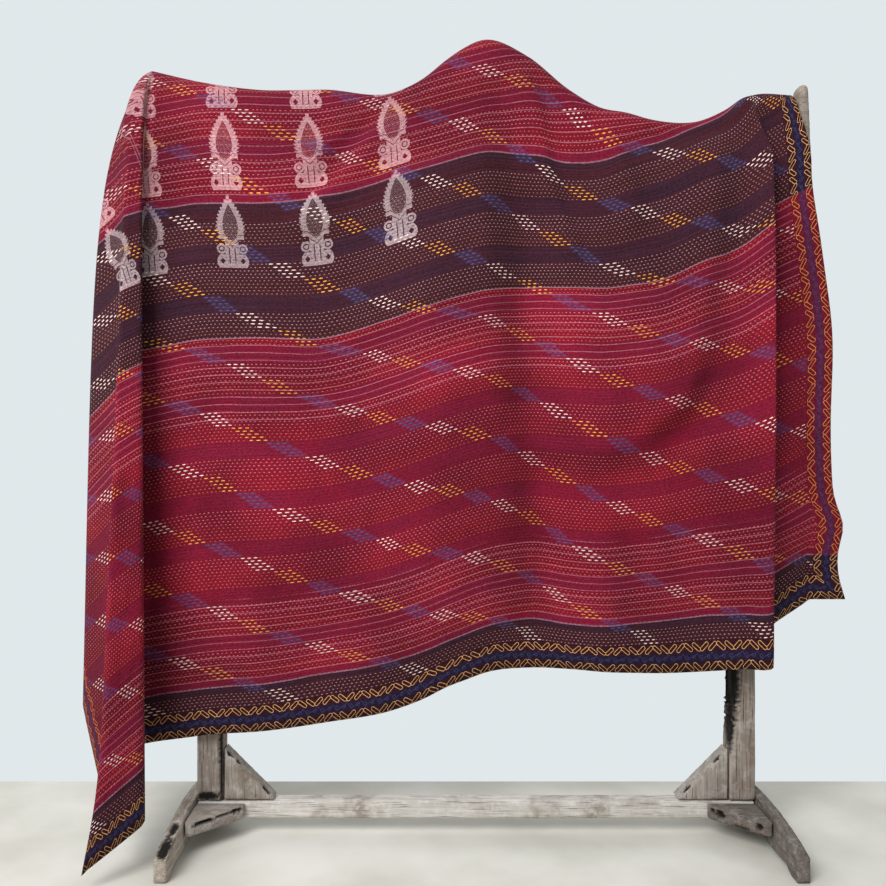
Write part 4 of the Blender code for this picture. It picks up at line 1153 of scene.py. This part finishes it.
WOOD_PIECES = (
    # solid, way of the grain, finish
    ("top_rail", 0, "rail"),
    ("post_left", 2, "post"),
    ("post_right", 2, "post"),
    ("stretcher", 0, "pale"),
    ("foot_left", 1, "foot"),
    ("foot_right", 1, "damp"),
    ("gusset_left", 2, "board"),
    ("gusset_right", 2, "board"),
    ("brace_front_left", 0, "board"),
    ("brace_front_right", 0, "damp"),
    ("brace_back_left", 0, "board"),
    ("brace_back_right", 0, "board"),
)
HOLLOWS = (
    # solid, place on the rack, half size, depth
    ("post_right", (0.4560, -0.010, 0.280), (0.0165, 0.042, 0.085), 0.0060),
    ("post_right", (0.4540, -0.012, 0.205), (0.0090, 0.034, 0.050), 0.0045),
    ("post_left", (-0.456, -0.019, 0.150), (0.005, 0.008, 0.110), 0.0025),
    ("post_left", (-0.482, -0.020, 0.070), (0.020, 0.010, 0.008), 0.0020),
    ("gusset_left", (-0.440, -0.012, 0.146), (0.008, 0.006, 0.008), 0.0030),
    ("gusset_left", (-0.426, -0.010, 0.131), (0.006, 0.006, 0.005), 0.0030),
    ("gusset_left", (-0.375, -0.010, 0.081), (0.010, 0.006, 0.009), 0.0035),
    ("gusset_right", (0.430, -0.010, 0.136), (0.010, 0.006, 0.007), 0.0030),
    ("gusset_right", (0.377, -0.010, 0.083), (0.010, 0.006, 0.009), 0.0030),
    ("brace_front_left", (-0.470, -0.083, 0.051), (0.022, 0.020, 0.0035), 0.0050),
    ("brace_front_left", (-0.445, -0.060, 0.053), (0.014, 0.014, 0.0025), 0.0040),
    ("brace_front_left", (-0.425, -0.040, 0.053), (0.013, 0.013, 0.0035), 0.0060),
    ("brace_front_right", (0.429, -0.044, 0.047), (0.008, 0.010, 0.0065), 0.0080),
    ("brace_front_right", (0.418, -0.034, 0.050), (0.004, 0.006, 0.0040), 0.0040),
    ("brace_front_right", (0.480, -0.091, 0.046), (0.006, 0.008, 0.0045), 0.0060),
    ("brace_front_right", (0.458, -0.071, 0.036), (0.014, 0.014, 0.0025), 0.0025),
    ("foot_left", (-0.512, -0.170, 0.048), (0.010, 0.040, 0.010), 0.0022),
    ("foot_left", (-0.512, -0.125, 0.060), (0.008, 0.020, 0.006), 0.0026),
)
VOXEL = 0.0034
RIDGE = 0.0007                # height of the ridges that the grain leaves
RIDGE_ACROSS = 190.0          # how fine they are across the grain
RIDGE_ALONG = 9.0             # and along it
WARP = 0.0008                 # height of the broad unevenness
WARP_FINE = 22.0
RAGGED = 0.45                 # how ragged a hollow's edge is
RAGGED_FINE = 260.0
HOLLOW_EDGE = (1.20, 0.34)    # where a hollow ends, in half sizes, and over how much
worn_pieces = {}
for node, grain, finish in WOOD_PIECES:
    bpy.ops.object.select_all(action="DESELECT")
    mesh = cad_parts[node].data.copy()
    piece = bpy.data.objects.new("worn_" + node, mesh)
    bpy.context.collection.objects.link(piece)
    bpy.context.view_layer.objects.active = piece
    piece.select_set(True)
    bpy.ops.object.mode_set(mode="EDIT")
    bpy.ops.mesh.select_all(action="SELECT")
    bpy.ops.mesh.remove_doubles(threshold=0.00001)
    bpy.ops.mesh.normals_make_consistent(inside=False)
    bpy.ops.object.mode_set(mode="OBJECT")
    even = piece.modifiers.new("even faces", "REMESH")
    even.mode = "VOXEL"
    even.voxel_size = VOXEL
    bpy.ops.object.modifier_apply(modifier=even.name)
    soften = piece.modifiers.new("round corners", "SMOOTH")
    soften.factor = 0.5
    soften.iterations = 2
    bpy.ops.object.modifier_apply(modifier=soften.name)
    mesh = piece.data
    hollow = mesh.attributes.new("hollow", "FLOAT", "POINT")
    spots = [spot for spot in HOLLOWS if spot[0] == node]
    moves = []
    for vertex in mesh.vertices:
        place = vertex.co
        across = place * RIDGE_ACROSS
        across[grain] = place[grain] * RIDGE_ALONG
        ridge = noise.noise(across)
        broad = noise.noise(place * WARP_FINE)
        depth = RIDGE * (0.6 + ridge) + WARP * (0.5 + 0.5 * broad)
        rot = 0.0
        for _, middle, half, deep in spots:
            gap = [(place[i] - RACK_MIDDLE[i] - middle[i]) / half[i] for i in range(3)]
            away = math.sqrt(sum(g * g for g in gap)) + RAGGED * noise.noise(place * RAGGED_FINE)
            inside = max(0.0, min(1.0, (HOLLOW_EDGE[0] - away) / HOLLOW_EDGE[1]))
            rot = max(rot, inside)
            depth += deep * inside * inside
        hollow.data[vertex.index].value = rot
        moves.append(vertex.co - vertex.normal * depth)
    for vertex, place in zip(mesh.vertices, moves):
        vertex.co = place
    mesh.update()
    mesh.shade_smooth()
    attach(piece, "root")
    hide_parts(node)
    worn_pieces[node] = (piece, grain, finish)
print("worn pieces:", {name: len(made[0].data.polygons) for name, made in worn_pieces.items()})

# %% [markdown]
# The finish is bare silvered teak: grey cellulose on top, brown wood where it is rubbed, near black in
# the pores and where it has rotted, and a chalky bloom on faces that dry fast. All of it is stretched
# along the grain, so there is one material for each way of the grain and each tone.

# %% Silver the teak
TONES = {
    # finish: pale, middle, dark, bloom share
    "rail": ("#A89C90", "#8B7F74", "#5F554C", 0.25),
    "post": ("#9E9288", "#7A6E65", "#4C433C", 0.24),
    "pale": ("#D2CCC5", "#B3ACA4", "#7C746C", 0.60),
    "foot": ("#B8AC9F", "#93877B", "#5C534A", 0.34),
    "board": ("#A69D94", "#888078", "#574F48", 0.25),
    # The low pieces at the right get a darker tone than the rest.
    "damp": ("#766E68", "#5B544E", "#38322D", 0.18),
}
FIGURE_ACROSS, FIGURE_ALONG = 150.0, 6.0
PORES_ACROSS, PORES_ALONG = 620.0, 20.0
finishes = {}
for piece, grain, finish in worn_pieces.values():
    key = finish + "_" + "xyz"[grain]
    if key not in finishes:
        teak = bpy.data.materials.new("silvered_teak_" + key)
        teak.use_nodes = True
        tree = teak.node_tree
        shader = tree.nodes["Principled BSDF"]
        pale, middle, dark, bloom_share = TONES[finish]
        here = add(tree, "TexCoord")
        place = (here, "Object")
        figure_scale = [FIGURE_ACROSS] * 3
        figure_scale[grain] = FIGURE_ALONG
        pore_scale = [PORES_ACROSS] * 3
        pore_scale[grain] = PORES_ALONG
        figure_place = add(tree, "VectorMath", place, tuple(figure_scale), operation="MULTIPLY")
        pore_place = add(tree, "VectorMath", place, tuple(pore_scale), operation="MULTIPLY")
        figure_in = {"Vector": figure_place, "Scale": 1.0, "Detail": 4.0, "Roughness": 0.6}
        figure = add(tree, "TexNoise", figure_in)
        pores = add(tree, "TexNoise", {"Vector": pore_place, "Scale": 1.0, "Detail": 2.0})
        stains = add(tree, "TexNoise", {"Vector": place, "Scale": 14.0, "Detail": 5.0, "Roughness": 0.65})
        bloom = add(tree, "TexNoise", {"Vector": place, "Scale": 62.0, "Detail": 4.0, "Roughness": 0.7})
        figure_tone = add(tree, "MapRange", {"Value": figure, "From Min": 0.32, "From Max": 0.68})
        pore_tone = add(tree, "MapRange", {"Value": pores, "From Min": 0.56, "From Max": 0.70})
        stain_tone = add(tree, "MapRange", {"Value": stains, "From Min": 0.50, "From Max": 0.72})
        bloom_in = {"Value": bloom, "From Min": 0.50, "From Max": 0.66, "To Max": bloom_share}
        bloom_tone = add(tree, "MapRange", bloom_in)
        rot_tone = (add(tree, "Attribute", attribute_name="hollow"), "Fac")
        wood = add(tree, "Mix", figure_tone, linear(middle), linear(pale), data_type="RGBA")
        stain_part = add(tree, "Math", stain_tone, 0.75, operation="MULTIPLY")
        stained = add(tree, "Mix", stain_part, (wood, "Result"), linear("#6A5545"), data_type="RGBA")
        bloomed = add(tree, "Mix", bloom_tone, (stained, "Result"), linear("#D9D5CF"), data_type="RGBA")
        pored = add(tree, "Mix", pore_tone, (bloomed, "Result"), linear(dark), data_type="RGBA")
        rotten = add(tree, "Mix", rot_tone, (pored, "Result"), linear("#15110F"), data_type="RGBA")
        tree.links.new(rotten.outputs[2], shader.inputs["Base Color"])
        shader.inputs["Roughness"].default_value = 0.86
        shader.inputs["Specular IOR Level"].default_value = 0.3
        grain_bump = add(tree, "Bump", {"Strength": 0.7, "Distance": 0.0010, "Height": figure})
        pore_up = {"Strength": 0.6, "Distance": 0.0006, "Height": pores, "Normal": grain_bump}
        pore_bump = add(tree, "Bump", pore_up)
        tree.links.new(pore_bump.outputs["Normal"], shader.inputs["Normal"])
        finishes[key] = teak
    piece.data.materials.clear()
    piece.data.materials.append(finishes[key])
print("teak finishes:", sorted(finishes))
